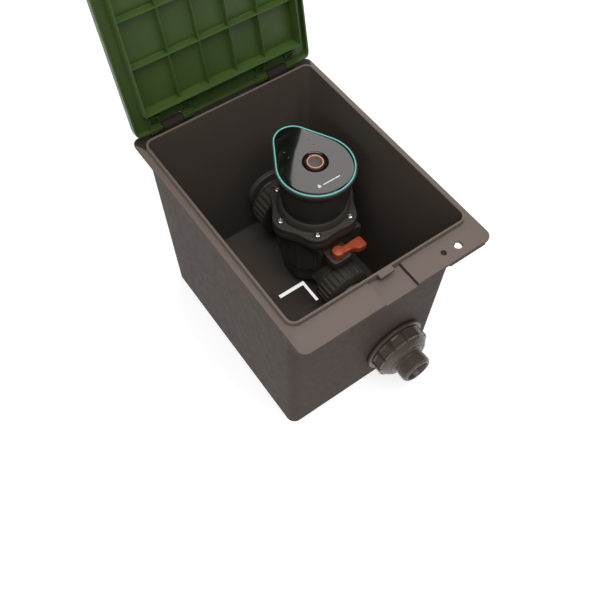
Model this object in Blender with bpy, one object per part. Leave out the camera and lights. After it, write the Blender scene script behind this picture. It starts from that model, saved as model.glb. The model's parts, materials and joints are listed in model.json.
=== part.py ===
"""Battery irrigation valve with its controller head, in a ground box with a hinged lid.

The frame: origin at the middle of the base, on the ground. +X is right, +Y is back towards the
hinge and +Z is up. Lengths below are millimetres and are turned into metres as meshes are made.
The lid stands open, resting on its stop.
"""
import bpy
import bmesh
from math import asin, cos, pi, radians, sin
from mathutils import Vector

MM = 0.001
GAP = 0.3

# Box
OPENING_HALF_X = 90.0
OPENING_HALF_Y = 113.75
BOX_HEIGHT = 215.0
WALL = 2.2
DRAFT_X = 3.6
DRAFT_Y = 2.4
CORNER = 9.0
LIP_RISE = 5.0
FLANGE_THICKNESS = 3.0
FLANGE_HALF_X = 98.6
FLANGE_FRONT = -140.4
FLANGE_BACK = 127.5
FLANGE_TOP = BOX_HEIGHT - LIP_RISE
FLOOR_TOP = 15.5
FLOOR_THICKNESS = 2.5
DRAIN_HALF_X = 17.0
DRAIN_HALF_Y = 15.0
BAFFLE_TOP = 5.2
BAFFLE_THICKNESS = 2.0
BAFFLE_OVERLAP = 4.0
BAFFLE_FOOT_R = 7.0
NOTCH_HALF_X = 16.5
NOTCH_BACK = -116.6
EAR_X = 94.3
EAR_HALF_X = 4.2
EAR_FRONT = -138.6
EAR_BACK = -112.0
EAR_DROP = 4.0
TAB_HALF_X = 7.5
TAB_FRONT = -120.7
TAB_BACK = -114.6
TAB_THICKNESS = 2.3
LOCK_HOLE = (68.4, -129.6, 4.0)
DOWEL_HOLE = (53.1, -128.9, 2.25)

# Lid and hinge
HINGE_Y = 122.9
HINGE_Z = 215.0
OPEN_ANGLE = 102.5
LID_HALF_X = 95.4
LID_LENGTH = 261.0
LID_TOP = 3.6
LID_UNDER = 0.6
SKIRT_BOTTOM = -4.4
SKIRT_THICKNESS = 2.2
FRAME_HALF_X = 84.0
FRAME_START = 21.5
FRAME_END = 234.5
FRAME_WALL = 2.2
FRAME_BOTTOM = -12.4
RIB_BOTTOM = -7.4
RIB_THICKNESS = 1.8
RIB_X = (-45.6, -15.2, 15.2, 45.6)
RIB_ROWS = (66.0, 108.0, 150.0, 192.0)
PIN_RADIUS = 1.9
PIN_BORE = 2.2
LUG_X = 57.5
LUG_HALF_WIDTH = 10.2
LUG_RADIUS = 5.2
KNUCKLE_X = (41.0, 74.0)
KNUCKLE_HALF_WIDTH = 5.5
KNUCKLE_RADIUS = 3.7
KNUCKLE_REACH = 5.6
WINDOW_HALF_X = 3.3
WINDOW_NEAR = 6.3
WINDOW_FAR = 12.6
WINDOW_TOP = 2.4
LUG_ROOM_HALF_X = LUG_HALF_WIDTH + 0.6
LUG_ROOM_REACH = 5.7
PIN_START = 35.2
PIN_END = 79.8
BOLT_HOLE_R = 3.3
BOLT_HEAD_R = 6.0

# Valve
VALVE_X = 36.0
VALVE_Y = 27.0
OUTLET_Z = 46.0
INLET_Z = 68.0
FLANGE_R = 46.5
BODY_TOP = 120.0
DRUM_R = 36.5
CHAMBER_R = 32.0
SEAT_R = 16.0
SEAT_TOP = 100.0
PORT_R = 19.0
PORT_BORE = 12.0
OUTLET_PORT_END = -30.0
INLET_PORT_END = 84.0
SCREW_COUNT = 6
SCREW_CIRCLE = 40.0
BONNET_TOP = 135.6
BONNET_FLANGE_TOP = 126.5
BONNET_CEILING = 132.0
SCREW_BORE = 2.4
CHAMBER_FLOOR = 62.0
BRACKET_LOW = (18.0, -8.5, 80.0)
BRACKET_HIGH = (73.0, 10.0, 100.0)
LEDGE_LOW = (24.0, -28.0)
LEDGE_HIGH = (48.0, 4.0)
LEDGE_BOTTOM = 82.0

# Pipe ends
TUBE_R = 15.6
TUBE_BORE = 12.6
SLEEVE_R = 21.0
WALL_HOLE_R = 21.4
THREAD_R = 16.62
THREAD_PITCH = 2.309
THREAD_DEPTH = 1.2
THREAD_TURNS = 5
MOUTH_Y = 154.3
SLOPE_GAP = 0.6
GASKET_THICKNESS = 1.0
WALL_NUT_R = 33.5
WALL_NUT_FRONT = 137.6
GASKET_GAP = 0.7
TUBE_FLANGE_R = 26.0
SEAL_INNER_R = 12.8
SEAL_OUTER_R = 18.4

# Controller head
HEAD_X = 36.0
HEAD_Y = 25.4
TIP_DISTANCE = 36.9
RING_R = 37.3
TIP_R = 18.9
HEAD_BOTTOM = 137.0
HEAD_TOP = 186.0
BUTTON_X = 37.3
BUTTON_Y = 28.4
PILOT_X = 36.0
PILOT_Y = 48.0
HEAD_SCREWS = ((HEAD_X, HEAD_Y - 26.8), (HEAD_X - 18.5, HEAD_Y + 21.5),
               (HEAD_X + 18.5, HEAD_Y + 21.5))
POST_R = 3.2
BUTTON_FLANGE = 176.9
BUTTON_HOLE_R = 9.9
DISH_R = 12.4
FACE_RECESS = 183.0
FACE_LOW = FACE_RECESS + GAP
RING_HALF = 0.55
SCREW_RECESS = 1.8
BOARD_LOW = 172.0
BOARD_THICKNESS = 1.6
BATTERY_HALF_X = 24.2
BATTERY_LOW_Y = 10.4
BATTERY_HIGH_Y = 36.8
BATTERY_HEIGHT = 17.4
TRAY_WALL = 1.2

# Lever
LEVER_X = 34.0
LEVER_Y = -20.0
LEVER_Z = 92.0
LEVER_BORE = 2.8
LEVER_TIP = 63.5


# ---------------------------------------------------------------- outlines
def rounded_rectangle(low, high, radius, corner_steps=4):
    """Anticlockwise outline of a rectangle with quarter-circle corners."""
    centres = ((high[0] - radius, high[1] - radius, 0.0), (low[0] + radius, high[1] - radius, 0.5),
               (low[0] + radius, low[1] + radius, 1.0), (high[0] - radius, low[1] + radius, 1.5))
    outline = []
    for x, y, start in centres:
        for step in range(corner_steps + 1):
            angle = pi * (start + 0.5 * step / corner_steps)
            outline.append((x + radius * cos(angle), y + radius * sin(angle)))
    return outline


def rectangle(low, high):
    """Anticlockwise outline of a plain rectangle."""
    return [(low[0], low[1]), (high[0], low[1]), (high[0], high[1]), (low[0], high[1])]


def teardrop(big, tip, distance=TIP_DISTANCE, x=HEAD_X, y=HEAD_Y, big_steps=20, tip_steps=8):
    """Two circles, the small one further back, wrapped by their two tangents."""
    lean = asin((big - tip) / distance)
    outline = []
    for i in range(big_steps + 1):
        angle = pi - lean + (pi + 2 * lean) * i / big_steps
        outline.append((x + big * cos(angle), y + big * sin(angle)))
    for i in range(tip_steps + 1):
        angle = lean + (pi - 2 * lean) * i / tip_steps
        outline.append((x + tip * cos(angle), y + distance + tip * sin(angle)))
    return outline


# ---------------------------------------------------------------- objects
def material(name, colour, roughness, metallic=0.0):
    """Principled material, made once for each name."""
    found = bpy.data.materials.get(name)
    if found:
        return found
    made = bpy.data.materials.new(name)
    made.use_nodes = True
    shader = made.node_tree.nodes["Principled BSDF"]
    shader.inputs["Base Color"].default_value = (*colour, 1.0)
    shader.inputs["Roughness"].default_value = roughness
    shader.inputs["Metallic"].default_value = metallic
    made.diffuse_color = (*colour, 1.0)
    return made


def box_plastic():
    return material("box_plastic", (0.178, 0.146, 0.133), 0.55)


def lid_plastic():
    return material("lid_plastic", (0.045, 0.105, 0.027), 0.5)


def black_plastic():
    return material("black_plastic", (0.020, 0.018, 0.016), 0.45)


def gloss_black():
    return material("gloss_black", (0.010, 0.010, 0.010), 0.08)


def fitting_plastic():
    return material("fitting_plastic", (0.115, 0.100, 0.090), 0.4)


def black_rubber():
    return material("black_rubber", (0.015, 0.015, 0.015), 0.8)


def steel():
    return material("steel", (0.62, 0.61, 0.58), 0.25, 1.0)


def lever_orange():
    return material("lever_orange", (0.42, 0.075, 0.028), 0.45)


def build_object(name, vertices, faces, finish, parent=None):
    """Mesh object from points in millimetres, with its faces turned outwards."""
    mesh = bpy.data.meshes.new(name)
    work = bmesh.new()
    made = [work.verts.new(Vector(point) * MM) for point in vertices]
    for face in faces:
        work.faces.new([made[i] for i in face])
    bmesh.ops.remove_doubles(work, verts=work.verts, dist=1e-7)
    bmesh.ops.recalc_face_normals(work, faces=work.faces)
    work.to_mesh(mesh)
    work.free()
    piece = bpy.data.objects.new(name, mesh)
    bpy.context.scene.collection.objects.link(piece)
    if finish:
        mesh.materials.append(finish)
    mesh.shade_smooth()
    mesh.set_sharp_from_angle(angle=radians(35))
    piece.parent = parent
    return piece


def centre_on(piece, x, y, z):
    """Moves the origin of a piece to a point and leaves its mesh where it is."""
    spot = Vector((x, y, z)) * MM
    for vertex in piece.data.vertices:
        vertex.co -= spot
    piece.location = spot
    return piece


def loft(name, sections, finish=None, parent=None):
    """Closed body through outlines with equal numbers of points, each at its own height."""
    count = len(sections[0][0])
    vertices = [(x, y, z) for outline, z in sections for x, y in outline]
    faces = [list(range(count)), [len(vertices) - count + i for i in range(count)]]
    for level in range(len(sections) - 1):
        base = level * count
        for i in range(count):
            j = (i + 1) % count
            faces.append([base + i, base + j, base + count + j, base + count + i])
    return build_object(name, vertices, faces, finish, parent)


def prism(name, outline, low, high, finish=None, parent=None):
    """Outline carried straight up from one height to another."""
    return loft(name, [(outline, low), (outline, high)], finish, parent)


def block(name, low, high, finish=None, parent=None):
    """Box between two corners."""
    return prism(name, rectangle(low, high), low[2], high[2], finish, parent)


def ring_prism(name, outer, inner, low, high, finish=None, parent=None):
    """Wall between two outlines with equal numbers of points."""
    count = len(outer)
    vertices = [(x, y, z) for outline, z in ((outer, low), (outer, high), (inner, high), (inner, low))
                for x, y in outline]
    faces = []
    for level in range(4):
        base, following = level * count, ((level + 1) % 4) * count
        for i in range(count):
            j = (i + 1) % count
            faces.append([base + i, base + j, following + j, following + i])
    return build_object(name, vertices, faces, finish, parent)


def turned(name, profile, centre, axis="Z", steps=36, ribs=0, finish=None, parent=None):
    """Closed profile of (radius, height, rib depth) points turned about an axis.

    With ribs, the radius of a point with a rib depth rises by it on half of each rib's share of
    the turn. A profile whose first and last points lie on the axis makes a body with no bore.
    """
    if ribs:
        steps = ribs * 4
    count = len(profile)
    vertices = []
    for step in range(steps):
        angle = 2 * pi * step / steps
        for point in profile:
            rise = point[2] if len(point) > 2 and ribs and step % 4 < 2 else 0.0
            across, up = (point[0] + rise) * cos(angle), (point[0] + rise) * sin(angle)
            along = point[1]
            if axis == "Z":
                vertices.append((centre[0] + across, centre[1] + up, centre[2] + along))
            elif axis == "Y":
                vertices.append((centre[0] + across, centre[1] + along, centre[2] + up))
            else:
                vertices.append((centre[0] + along, centre[1] + across, centre[2] + up))
    faces = []
    on_axis = profile[0][0] == 0.0
    for step in range(steps):
        base, following = step * count, ((step + 1) % steps) * count
        for i in range(count - 1 if on_axis else count):
            j = (i + 1) % count
            corners = [base + i, base + j, following + j, following + i]
            if profile[i][0] == 0.0:
                corners = [base + i, base + j, following + j]
            elif profile[j][0] == 0.0:
                corners = [base + i, base + j, following + i]
            faces.append(corners)
    return build_object(name, vertices, faces, finish, parent)


def rod(name, radius, low, high, centre, axis="Z", steps=24, finish=None, parent=None):
    """Plain cylinder between two places along an axis."""
    profile = [(0.0, low), (radius, low), (radius, high), (0.0, high)]
    return turned(name, profile, centre, axis, steps, finish=finish, parent=parent)


def tube(name, inner, outer, low, high, centre, axis="Z", steps=24, finish=None, parent=None):
    """Plain ring between two places along an axis."""
    profile = [(inner, low), (outer, low), (outer, high), (inner, high)]
    return turned(name, profile, centre, axis, steps, finish=finish, parent=parent)


def combine(piece, operation, *others):
    """Adds Boolean modifiers and keeps the other bodies out of the model."""
    for other in others:
        step = piece.modifiers.new(other.name, "BOOLEAN")
        step.operation = operation
        step.solver = "EXACT"
        step.object = other
        other.hide_render = True
        other.display_type = "WIRE"
    return piece


def spring(name, radius, wire, turns, low, high, centre, finish, parent=None):
    """Round wire of a few sides carried along a helix and closed at both ends."""
    sides, per_turn = 4, 10
    total = int(turns * per_turn)
    vertices = []
    for step in range(total + 1):
        angle = 2 * pi * step / per_turn
        height = low + wire + (high - low - 2 * wire) * step / total
        for side in range(sides):
            bend = 2 * pi * side / sides
            reach = radius + wire * cos(bend)
            vertices.append((centre[0] + reach * cos(angle), centre[1] + reach * sin(angle),
                             height + wire * sin(bend)))
    faces = [list(range(sides)), [total * sides + side for side in range(sides)]]
    for step in range(total):
        for side in range(sides):
            a, b = step * sides + side, step * sides + (side + 1) % sides
            faces.append([a, b, b + sides, a + sides])
    return build_object(name, vertices, faces, finish, parent)


def empty(name, x, y, z):
    """Parent for the pieces that turn or slide together."""
    made = bpy.data.objects.new(name, None)
    made.location = Vector((x, y, z)) * MM
    bpy.context.scene.collection.objects.link(made)
    return made


# ---------------------------------------------------------------- box
def half_inside(z):
    """Half width and half length of the box's inside at a height, with its draft."""
    low = 1.0 - z / BOX_HEIGHT
    return OPENING_HALF_X - DRAFT_X * low, OPENING_HALF_Y - DRAFT_Y * low


def box_outline(z, grow, radius):
    """Outline of the box's wall at a height, moved outwards by a distance."""
    half_x, half_y = half_inside(z)
    return rounded_rectangle((-half_x - grow, -half_y - grow), (half_x + grow, half_y + grow), radius)


def make_box_shell():
    """Tapered box with a floor, a lip, a flange, hinge lugs and its openings."""
    shell = loft("box_shell", [(box_outline(0, WALL, CORNER), 0.0),
                               (box_outline(BOX_HEIGHT, WALL, CORNER), BOX_HEIGHT)], box_plastic())
    flange_low = FLANGE_TOP - FLANGE_THICKNESS
    flange = prism("box_flange", rounded_rectangle((-FLANGE_HALF_X, FLANGE_FRONT),
                                                   (FLANGE_HALF_X, FLANGE_BACK), 5.0),
                   flange_low, FLANGE_TOP)
    ears = [block("box_ear", (side * EAR_X - EAR_HALF_X, EAR_FRONT, flange_low - EAR_DROP),
                  (side * EAR_X + EAR_HALF_X, EAR_BACK, flange_low + 1.0)) for side in (-1, 1)]
    notch_floor = block("notch_floor", (-NOTCH_HALF_X - 2, FLANGE_FRONT, flange_low - 3.0),
                        (NOTCH_HALF_X + 2, -114.5, flange_low + 0.5))
    combine(shell, "UNION", flange, *ears, notch_floor)

    cavity = loft("box_cavity", [(box_outline(FLOOR_TOP, 0, CORNER - WALL), FLOOR_TOP),
                                 (box_outline(BOX_HEIGHT + 5, 0, CORNER - WALL), BOX_HEIGHT + 5)])
    under = loft("box_under", [(box_outline(-1, 0, CORNER - WALL), -1.0),
                               (box_outline(FLOOR_TOP - FLOOR_THICKNESS, 0, CORNER - WALL),
                                FLOOR_TOP - FLOOR_THICKNESS)])
    drain = block("drain_cut", (-DRAIN_HALF_X, -DRAIN_HALF_Y, 5), (DRAIN_HALF_X, DRAIN_HALF_Y, 20))
    notch = block("notch_cut", (-NOTCH_HALF_X, FLANGE_FRONT - 1, flange_low),
                  (NOTCH_HALF_X, NOTCH_BACK, BOX_HEIGHT))
    holes = [rod("flange_hole", radius, 195, 215, (x, y, 0), steps=20)
             for x, y, radius in (LOCK_HOLE, DOWEL_HOLE)]
    outlet = rod("outlet_cut", WALL_HOLE_R, -125, -100, (VALVE_X, 0, OUTLET_Z), "Y", 40)
    inlet = rod("inlet_cut", WALL_HOLE_R, 100, 125, (VALVE_X, 0, INLET_Z), "Y", 40)
    combine(shell, "DIFFERENCE", cavity, under, drain, notch, *holes, outlet, inlet)

    tab_top = BOX_HEIGHT - 0.1
    tab = block("latch_tab", (-TAB_HALF_X, TAB_FRONT, tab_top - TAB_THICKNESS),
                (TAB_HALF_X, TAB_BACK, tab_top))
    combine(shell, "UNION", tab)
    for side in (-1, 1):
        x = side * LUG_X
        foot = block("lug_foot", (x - LUG_HALF_WIDTH, HINGE_Y - LUG_RADIUS, FLANGE_TOP - 5),
                     (x + LUG_HALF_WIDTH, HINGE_Y + LUG_RADIUS, HINGE_Z))
        eye = rod("lug_eye", LUG_RADIUS, x - LUG_HALF_WIDTH + 0.01, x + LUG_HALF_WIDTH - 0.01,
                  (0, HINGE_Y, HINGE_Z), "X", 24)
        combine(shell, "UNION", foot, eye)
    bore = rod("lug_bore", PIN_BORE, -80, 80, (0, HINGE_Y, HINGE_Z), "X", 16)
    return combine(shell, "DIFFERENCE", bore)


def make_drain_plate():
    """Baffle under the drain opening, hung by two walls the opening's edge hides."""
    left_edge, front_edge = -DRAIN_HALF_X - BAFFLE_OVERLAP, -DRAIN_HALF_Y - BAFFLE_OVERLAP
    plate = block("drain_plate", (left_edge, front_edge, BAFFLE_TOP - BAFFLE_THICKNESS),
                  (DRAIN_HALF_X, DRAIN_HALF_Y, BAFFLE_TOP), box_plastic())
    hanger_top = FLOOR_TOP - FLOOR_THICKNESS - GAP
    left = block("drain_left", (left_edge, front_edge, BAFFLE_TOP - 1),
                 (left_edge + BAFFLE_THICKNESS, DRAIN_HALF_Y - 1, hanger_top))
    front = block("drain_front", (left_edge + 0.1, front_edge + 0.01, BAFFLE_TOP - 1),
                  (DRAIN_HALF_X - 1, front_edge + BAFFLE_THICKNESS, hanger_top - 0.01))
    foot = rod("drain_foot", BAFFLE_FOOT_R, 0.0, BAFFLE_TOP - 1, (0, 0, 0), steps=24)
    return combine(plate, "UNION", left, front, foot)


# ---------------------------------------------------------------- lid
def make_lid(axle):
    """Tray with a raised rib grid and four hinge knuckles, drawn shut about the hinge line.

    The hinge line is local X. A place at distance v from it lies at y = -v when the lid is shut.
    """
    def outline(half_x, near, far, radius):
        return rounded_rectangle((-half_x, -far), (half_x, -near), radius)

    lid = prism("lid", outline(LID_HALF_X, 1.0, LID_LENGTH, 6.0), SKIRT_BOTTOM, LID_TOP,
                lid_plastic(), axle)
    seat = prism("lid_seat_cut", outline(LID_HALF_X - SKIRT_THICKNESS, 3.2, LID_LENGTH - SKIRT_THICKNESS,
                                         4.0), SKIRT_BOTTOM - 2, LID_UNDER, parent=axle)
    combine(lid, "DIFFERENCE", seat)
    frame = prism("lid_frame", outline(FRAME_HALF_X, FRAME_START, FRAME_END, 4.0),
                  FRAME_BOTTOM, LID_UNDER + 0.5, parent=axle)
    combine(lid, "UNION", frame)
    hollow = prism("lid_frame_cut", outline(FRAME_HALF_X - FRAME_WALL, FRAME_START + FRAME_WALL,
                                            FRAME_END - FRAME_WALL, 2.0),
                   FRAME_BOTTOM - 1, LID_UNDER, parent=axle)
    combine(lid, "DIFFERENCE", hollow)
    half = RIB_THICKNESS / 2
    for x in RIB_X:
        rib = block("lid_column", (x - half, -FRAME_END + 1, RIB_BOTTOM),
                    (x + half, -FRAME_START - 1, LID_UNDER + 0.6), parent=axle)
        combine(lid, "UNION", rib)
    for v in RIB_ROWS:
        rib = block("lid_row", (-FRAME_HALF_X + 1, -v - half, RIB_BOTTOM - 0.1),
                    (FRAME_HALF_X - 1, -v + half, LID_UNDER + 0.7), parent=axle)
        combine(lid, "UNION", rib)
    for side in (-1, 1):
        clear = block("lug_clearance", (side * LUG_X - LUG_ROOM_HALF_X, -LUG_ROOM_REACH, -8),
                      (side * LUG_X + LUG_ROOM_HALF_X, 4, 8), parent=axle)
        combine(lid, "DIFFERENCE", clear)
    places = [side * place for side in (-1, 1) for place in KNUCKLE_X]
    for x in places:
        arm = block("knuckle_arm", (x - KNUCKLE_HALF_WIDTH, -KNUCKLE_REACH, -KNUCKLE_RADIUS + 0.2),
                    (x + KNUCKLE_HALF_WIDTH, -0.6, LID_UNDER + 0.8), parent=axle)
        eye = rod("knuckle_eye", KNUCKLE_RADIUS, x - KNUCKLE_HALF_WIDTH + 0.01,
                  x + KNUCKLE_HALF_WIDTH - 0.01, (0, 0, 0), "X", 18, parent=axle)
        combine(lid, "UNION", arm, eye)
    for x in places:
        window = block("knuckle_window", (x - WINDOW_HALF_X, -WINDOW_FAR, -6),
                       (x + WINDOW_HALF_X, -WINDOW_NEAR, WINDOW_TOP), parent=axle)
        combine(lid, "DIFFERENCE", window)
    for side in (-1, 1):
        bore = rod("knuckle_bore", PIN_BORE, *sorted((side * (PIN_START - 0.7), side * (PIN_END + 0.7))),
                   (0, 0, 0), "X", 16, parent=axle)
        combine(lid, "DIFFERENCE", bore)
    grip = block("grip_cut", (-NOTCH_HALF_X, -LID_LENGTH - 2, -6),
                 (NOTCH_HALF_X, -LID_LENGTH + 3.5, LID_UNDER - 1.2), parent=axle)
    bolt = rod("bolt_cut", BOLT_HOLE_R, -6, 8, (LOCK_HOLE[0], LOCK_HOLE[1] - HINGE_Y, 0), steps=16,
               parent=axle)
    return combine(lid, "DIFFERENCE", grip, bolt)


def make_hinge_pins(axle):
    """Plain pin for each pair of knuckles and the lug between them."""
    for side, name in ((-1, "hinge_pin_left"), (1, "hinge_pin_right")):
        rod(name, PIN_RADIUS, *sorted((side * PIN_START, side * PIN_END)), (0, 0, 0), "X", 16,
            steel(), axle)


def make_lock_bolt(axle):
    """Bolt held in the lid, over the hole in the box's front flange."""
    shank = BOLT_HOLE_R - GAP
    profile = [(0.0, -10.0), (shank - 0.8, -10.0), (shank, -9.0), (shank, LID_TOP + GAP),
               (BOLT_HEAD_R, LID_TOP + GAP), (BOLT_HEAD_R, LID_TOP + 2.6),
               (BOLT_HEAD_R - 0.8, LID_TOP + 3.6), (0.0, LID_TOP + 3.6)]
    bolt = turned("lock_bolt", profile, (0, 0, 0), steps=24, finish=black_plastic(), parent=axle)
    bolt.location = Vector((LOCK_HOLE[0], LOCK_HOLE[1] - HINGE_Y, 0)) * MM
    slot = block("bolt_slot", (-5.0, -0.7, LID_TOP + 2.2), (5.0, 0.7, LID_TOP + 5), parent=bolt)
    combine(bolt, "DIFFERENCE", slot)


# ---------------------------------------------------------------- valve
def make_valve_body():
    """Drum with an annular inlet chamber, a raised seat over the outlet and two ports."""
    profile = [(0.0, 24.0), (22.0, 24.0), (31.0, 32.0), (DRUM_R - 1.5, 58.0), (DRUM_R, CHAMBER_FLOOR),
               (DRUM_R, 108.0), (FLANGE_R, 111.5), (FLANGE_R, BODY_TOP), (0.0, BODY_TOP)]
    centre = (VALVE_X, VALVE_Y, 0)
    body = turned("valve_body", profile, centre, steps=32, finish=black_plastic())
    outlet = rod("outlet_port", PORT_R, OUTLET_PORT_END, VALVE_Y, (VALVE_X, 0, OUTLET_Z), "Y", 28)
    inlet = rod("inlet_port", PORT_R, VALVE_Y, INLET_PORT_END, (VALVE_X, 0, INLET_Z), "Y", 28)
    bracket = block("side_bracket", BRACKET_LOW, BRACKET_HIGH)
    ledge = prism("lever_ledge", rounded_rectangle(LEDGE_LOW, LEDGE_HIGH, 5.0), LEDGE_BOTTOM,
                  LEVER_Z - GAP)
    combine(body, "UNION", outlet, inlet, bracket, ledge)
    chamber = chamber_cutter(centre)
    outlet_bore = rod("outlet_bore", PORT_BORE, OUTLET_PORT_END - 2, VALVE_Y + 14,
                      (VALVE_X, 0, OUTLET_Z), "Y", 24)
    inlet_bore = rod("inlet_bore", PORT_BORE, VALVE_Y + 22, INLET_PORT_END + 2,
                     (VALVE_X, 0, INLET_Z), "Y", 24)
    pivot = rod("lever_bore", LEVER_BORE, 70, 110, (LEVER_X, LEVER_Y, 0), steps=16)
    combine(body, "DIFFERENCE", chamber, outlet_bore, inlet_bore, pivot)
    for i in range(SCREW_COUNT):
        x, y = screw_place(i)
        combine(body, "DIFFERENCE", rod("screw_bore", SCREW_BORE, 113.0, BODY_TOP + 2, (x, y, 0), steps=12))
    return body


def chamber_cutter(centre):
    """Ring-shaped inlet chamber that opens over the seat, and the bore down through the seat."""
    seat_bore = PORT_BORE - 0.9
    profile = [(0.0, BODY_TOP + 1), (CHAMBER_R, BODY_TOP + 1), (CHAMBER_R, CHAMBER_FLOOR),
               (SEAT_R, CHAMBER_FLOOR),
               (SEAT_R, SEAT_TOP), (seat_bore, SEAT_TOP), (seat_bore, OUTLET_Z - 4.3),
               (0.0, OUTLET_Z - 4.3)]
    return turned("chamber_cut", profile, centre, steps=30)


def screw_place(index):
    """Centre of a bonnet screw on its circle."""
    angle = 2 * pi * index / SCREW_COUNT
    return VALVE_X + SCREW_CIRCLE * cos(angle), VALVE_Y + SCREW_CIRCLE * sin(angle)


def make_bonnet():
    """Cover over the diaphragm, with the pilot passage to the controller head."""
    low = BODY_TOP + GAP
    profile = [(0.0, BONNET_CEILING), (30.0, BONNET_CEILING), (30.0, 122.2), (37.0, 122.2), (37.0, low),
               (FLANGE_R, low), (FLANGE_R, BONNET_FLANGE_TOP - 0.9), (FLANGE_R - 0.9, BONNET_FLANGE_TOP),
               (DRUM_R, BONNET_FLANGE_TOP), (DRUM_R, 131.0), (DRUM_R - 2.0, BONNET_TOP), (0.0, BONNET_TOP)]
    bonnet = turned("bonnet", profile, (VALVE_X, VALVE_Y, 0), steps=32, finish=black_plastic())
    combine(bonnet, "DIFFERENCE", rod("pilot_bore", 1.6, 130, 138, (PILOT_X, PILOT_Y, 0), steps=12))
    for i in range(SCREW_COUNT):
        x, y = screw_place(i)
        combine(bonnet, "DIFFERENCE", rod("screw_hole", SCREW_BORE, 118, 130, (x, y, 0), steps=12))
    return bonnet


def make_bonnet_screws():
    """Pan-head cross screws, one object each, sharing one mesh."""
    seat = BONNET_FLANGE_TOP + GAP
    profile = [(0.0, 114.0), (2.05, 114.0), (2.05, seat), (3.5, seat), (3.5, seat + 1.4),
               (2.6, seat + 2.6), (0.0, seat + 2.9)]
    for i in range(SCREW_COUNT):
        x, y = screw_place(i)
        turned("bonnet_screw_%d" % (i + 1), profile, (x, y, 0), steps=12, finish=steel())


def make_valve_works():
    """Diaphragm, the disc that it carries onto the seat, and the spring that shuts it."""
    centre = (VALVE_X, VALVE_Y, 0)
    tube("diaphragm", 8.4, 36.4, BODY_TOP + GAP, 121.9, centre, finish=black_rubber())
    low = SEAT_TOP + GAP
    profile = [(0.0, low), (17.5, low), (17.5, low + 3.5), (8.0, low + 6.0), (8.0, 122.4), (13.0, 122.4),
               (13.0, 124.0), (0.0, 124.0)]
    disc = turned("seat_disc", profile, centre, steps=28, finish=black_plastic())
    centre_on(disc, VALVE_X, VALVE_Y, low)
    spring("diaphragm_spring", 10.0, 0.6, 3, 124.3, 131.7, centre, steel())


def make_lever():
    """Flat lever with a broad end, and the pin that it turns on."""
    arm = prism("manual_lever", rounded_rectangle((LEVER_X, -24.2), (52.0, -16.6), 3.0), LEVER_Z,
                LEVER_Z + 6.0, lever_orange())
    hub = rod("lever_hub", 6.4, LEVER_Z + 0.01, LEVER_Z + 7.0, (LEVER_X, LEVER_Y, 0), steps=24)
    end = (LEVER_TIP, -17.6)
    paddle = loft("lever_paddle", [(rounded_rectangle((45.0, -31.0), end, 2.5), LEVER_Z + 1.0),
                                   (rounded_rectangle((47.0, -31.0), end, 2.5), LEVER_Z + 10.0)])
    combine(arm, "UNION", hub, paddle)
    combine(arm, "DIFFERENCE", rod("lever_eye", LEVER_BORE, 80, 110, (LEVER_X, LEVER_Y, 0), steps=16))
    centre_on(arm, LEVER_X, LEVER_Y, LEVER_Z)
    profile = [(0.0, 78.0), (2.5, 78.0), (2.5, LEVER_Z + 7.3), (4.6, LEVER_Z + 7.3), (4.6, LEVER_Z + 8.3),
               (0.0, LEVER_Z + 8.8)]
    pin = turned("lever_shaft", profile, (LEVER_X, LEVER_Y, 0), steps=16, finish=steel())
    centre_on(pin, LEVER_X, LEVER_Y, LEVER_Z)


# ---------------------------------------------------------------- pipe ends
def thread_profile(radius, start, turns):
    """Points of ring-shaped thread crests from a start towards the mouth."""
    points = []
    for turn in range(turns):
        at = start + THREAD_PITCH * (turn + 0.5)
        points += [(radius - THREAD_DEPTH, at - THREAD_PITCH * 0.5 + 0.2), (radius, at)]
    return points


def tube_profile(inside_end, wall_inside):
    """Tube with a union flange, a wall flange, a sleeve and a male pipe thread, outwards as +."""
    sleeve_end = MOUTH_Y - THREAD_PITCH * THREAD_TURNS - 2.6
    crests = thread_profile(THREAD_R, sleeve_end + 0.6, THREAD_TURNS)
    return [(TUBE_BORE, inside_end), (18.6, inside_end), (18.6, inside_end + 4.0),
            (TUBE_R, inside_end + 4.0), (TUBE_R, wall_inside - 6.0), (TUBE_FLANGE_R, wall_inside - 6.0),
            (TUBE_FLANGE_R, wall_inside - SLOPE_GAP), (SLEEVE_R, wall_inside - SLOPE_GAP),
            (SLEEVE_R, sleeve_end - 1.2), (SLEEVE_R - 1.2, sleeve_end),
            (THREAD_R - THREAD_DEPTH, sleeve_end), *crests,
            (THREAD_R - THREAD_DEPTH, MOUTH_Y - 1.2), (THREAD_R - THREAD_DEPTH - 0.8, MOUTH_Y),
            (TUBE_BORE, MOUTH_Y)]


def wall_nut_profile(wall_outside):
    """Ribbed nut with a flange against the wall and a smooth rounded front."""
    bore = SLEEVE_R + GAP
    start = wall_outside + SLOPE_GAP + GASKET_THICKNESS + 0.5
    return [(bore, start), (WALL_NUT_R, start), (WALL_NUT_R, start + 3.0), (29.2, start + 3.4, 1.0),
            (29.2, 131.5, 1.0), (28.2, 132.2), (25.0, WALL_NUT_FRONT - 1.2), (bore + 1.0, WALL_NUT_FRONT),
            (bore, WALL_NUT_FRONT)]


def mirrored(profile, sign):
    """Profile with its heights multiplied by a sign, so an end can point to -Y."""
    return [(point[0], sign * point[1], *point[2:]) for point in profile]


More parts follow.
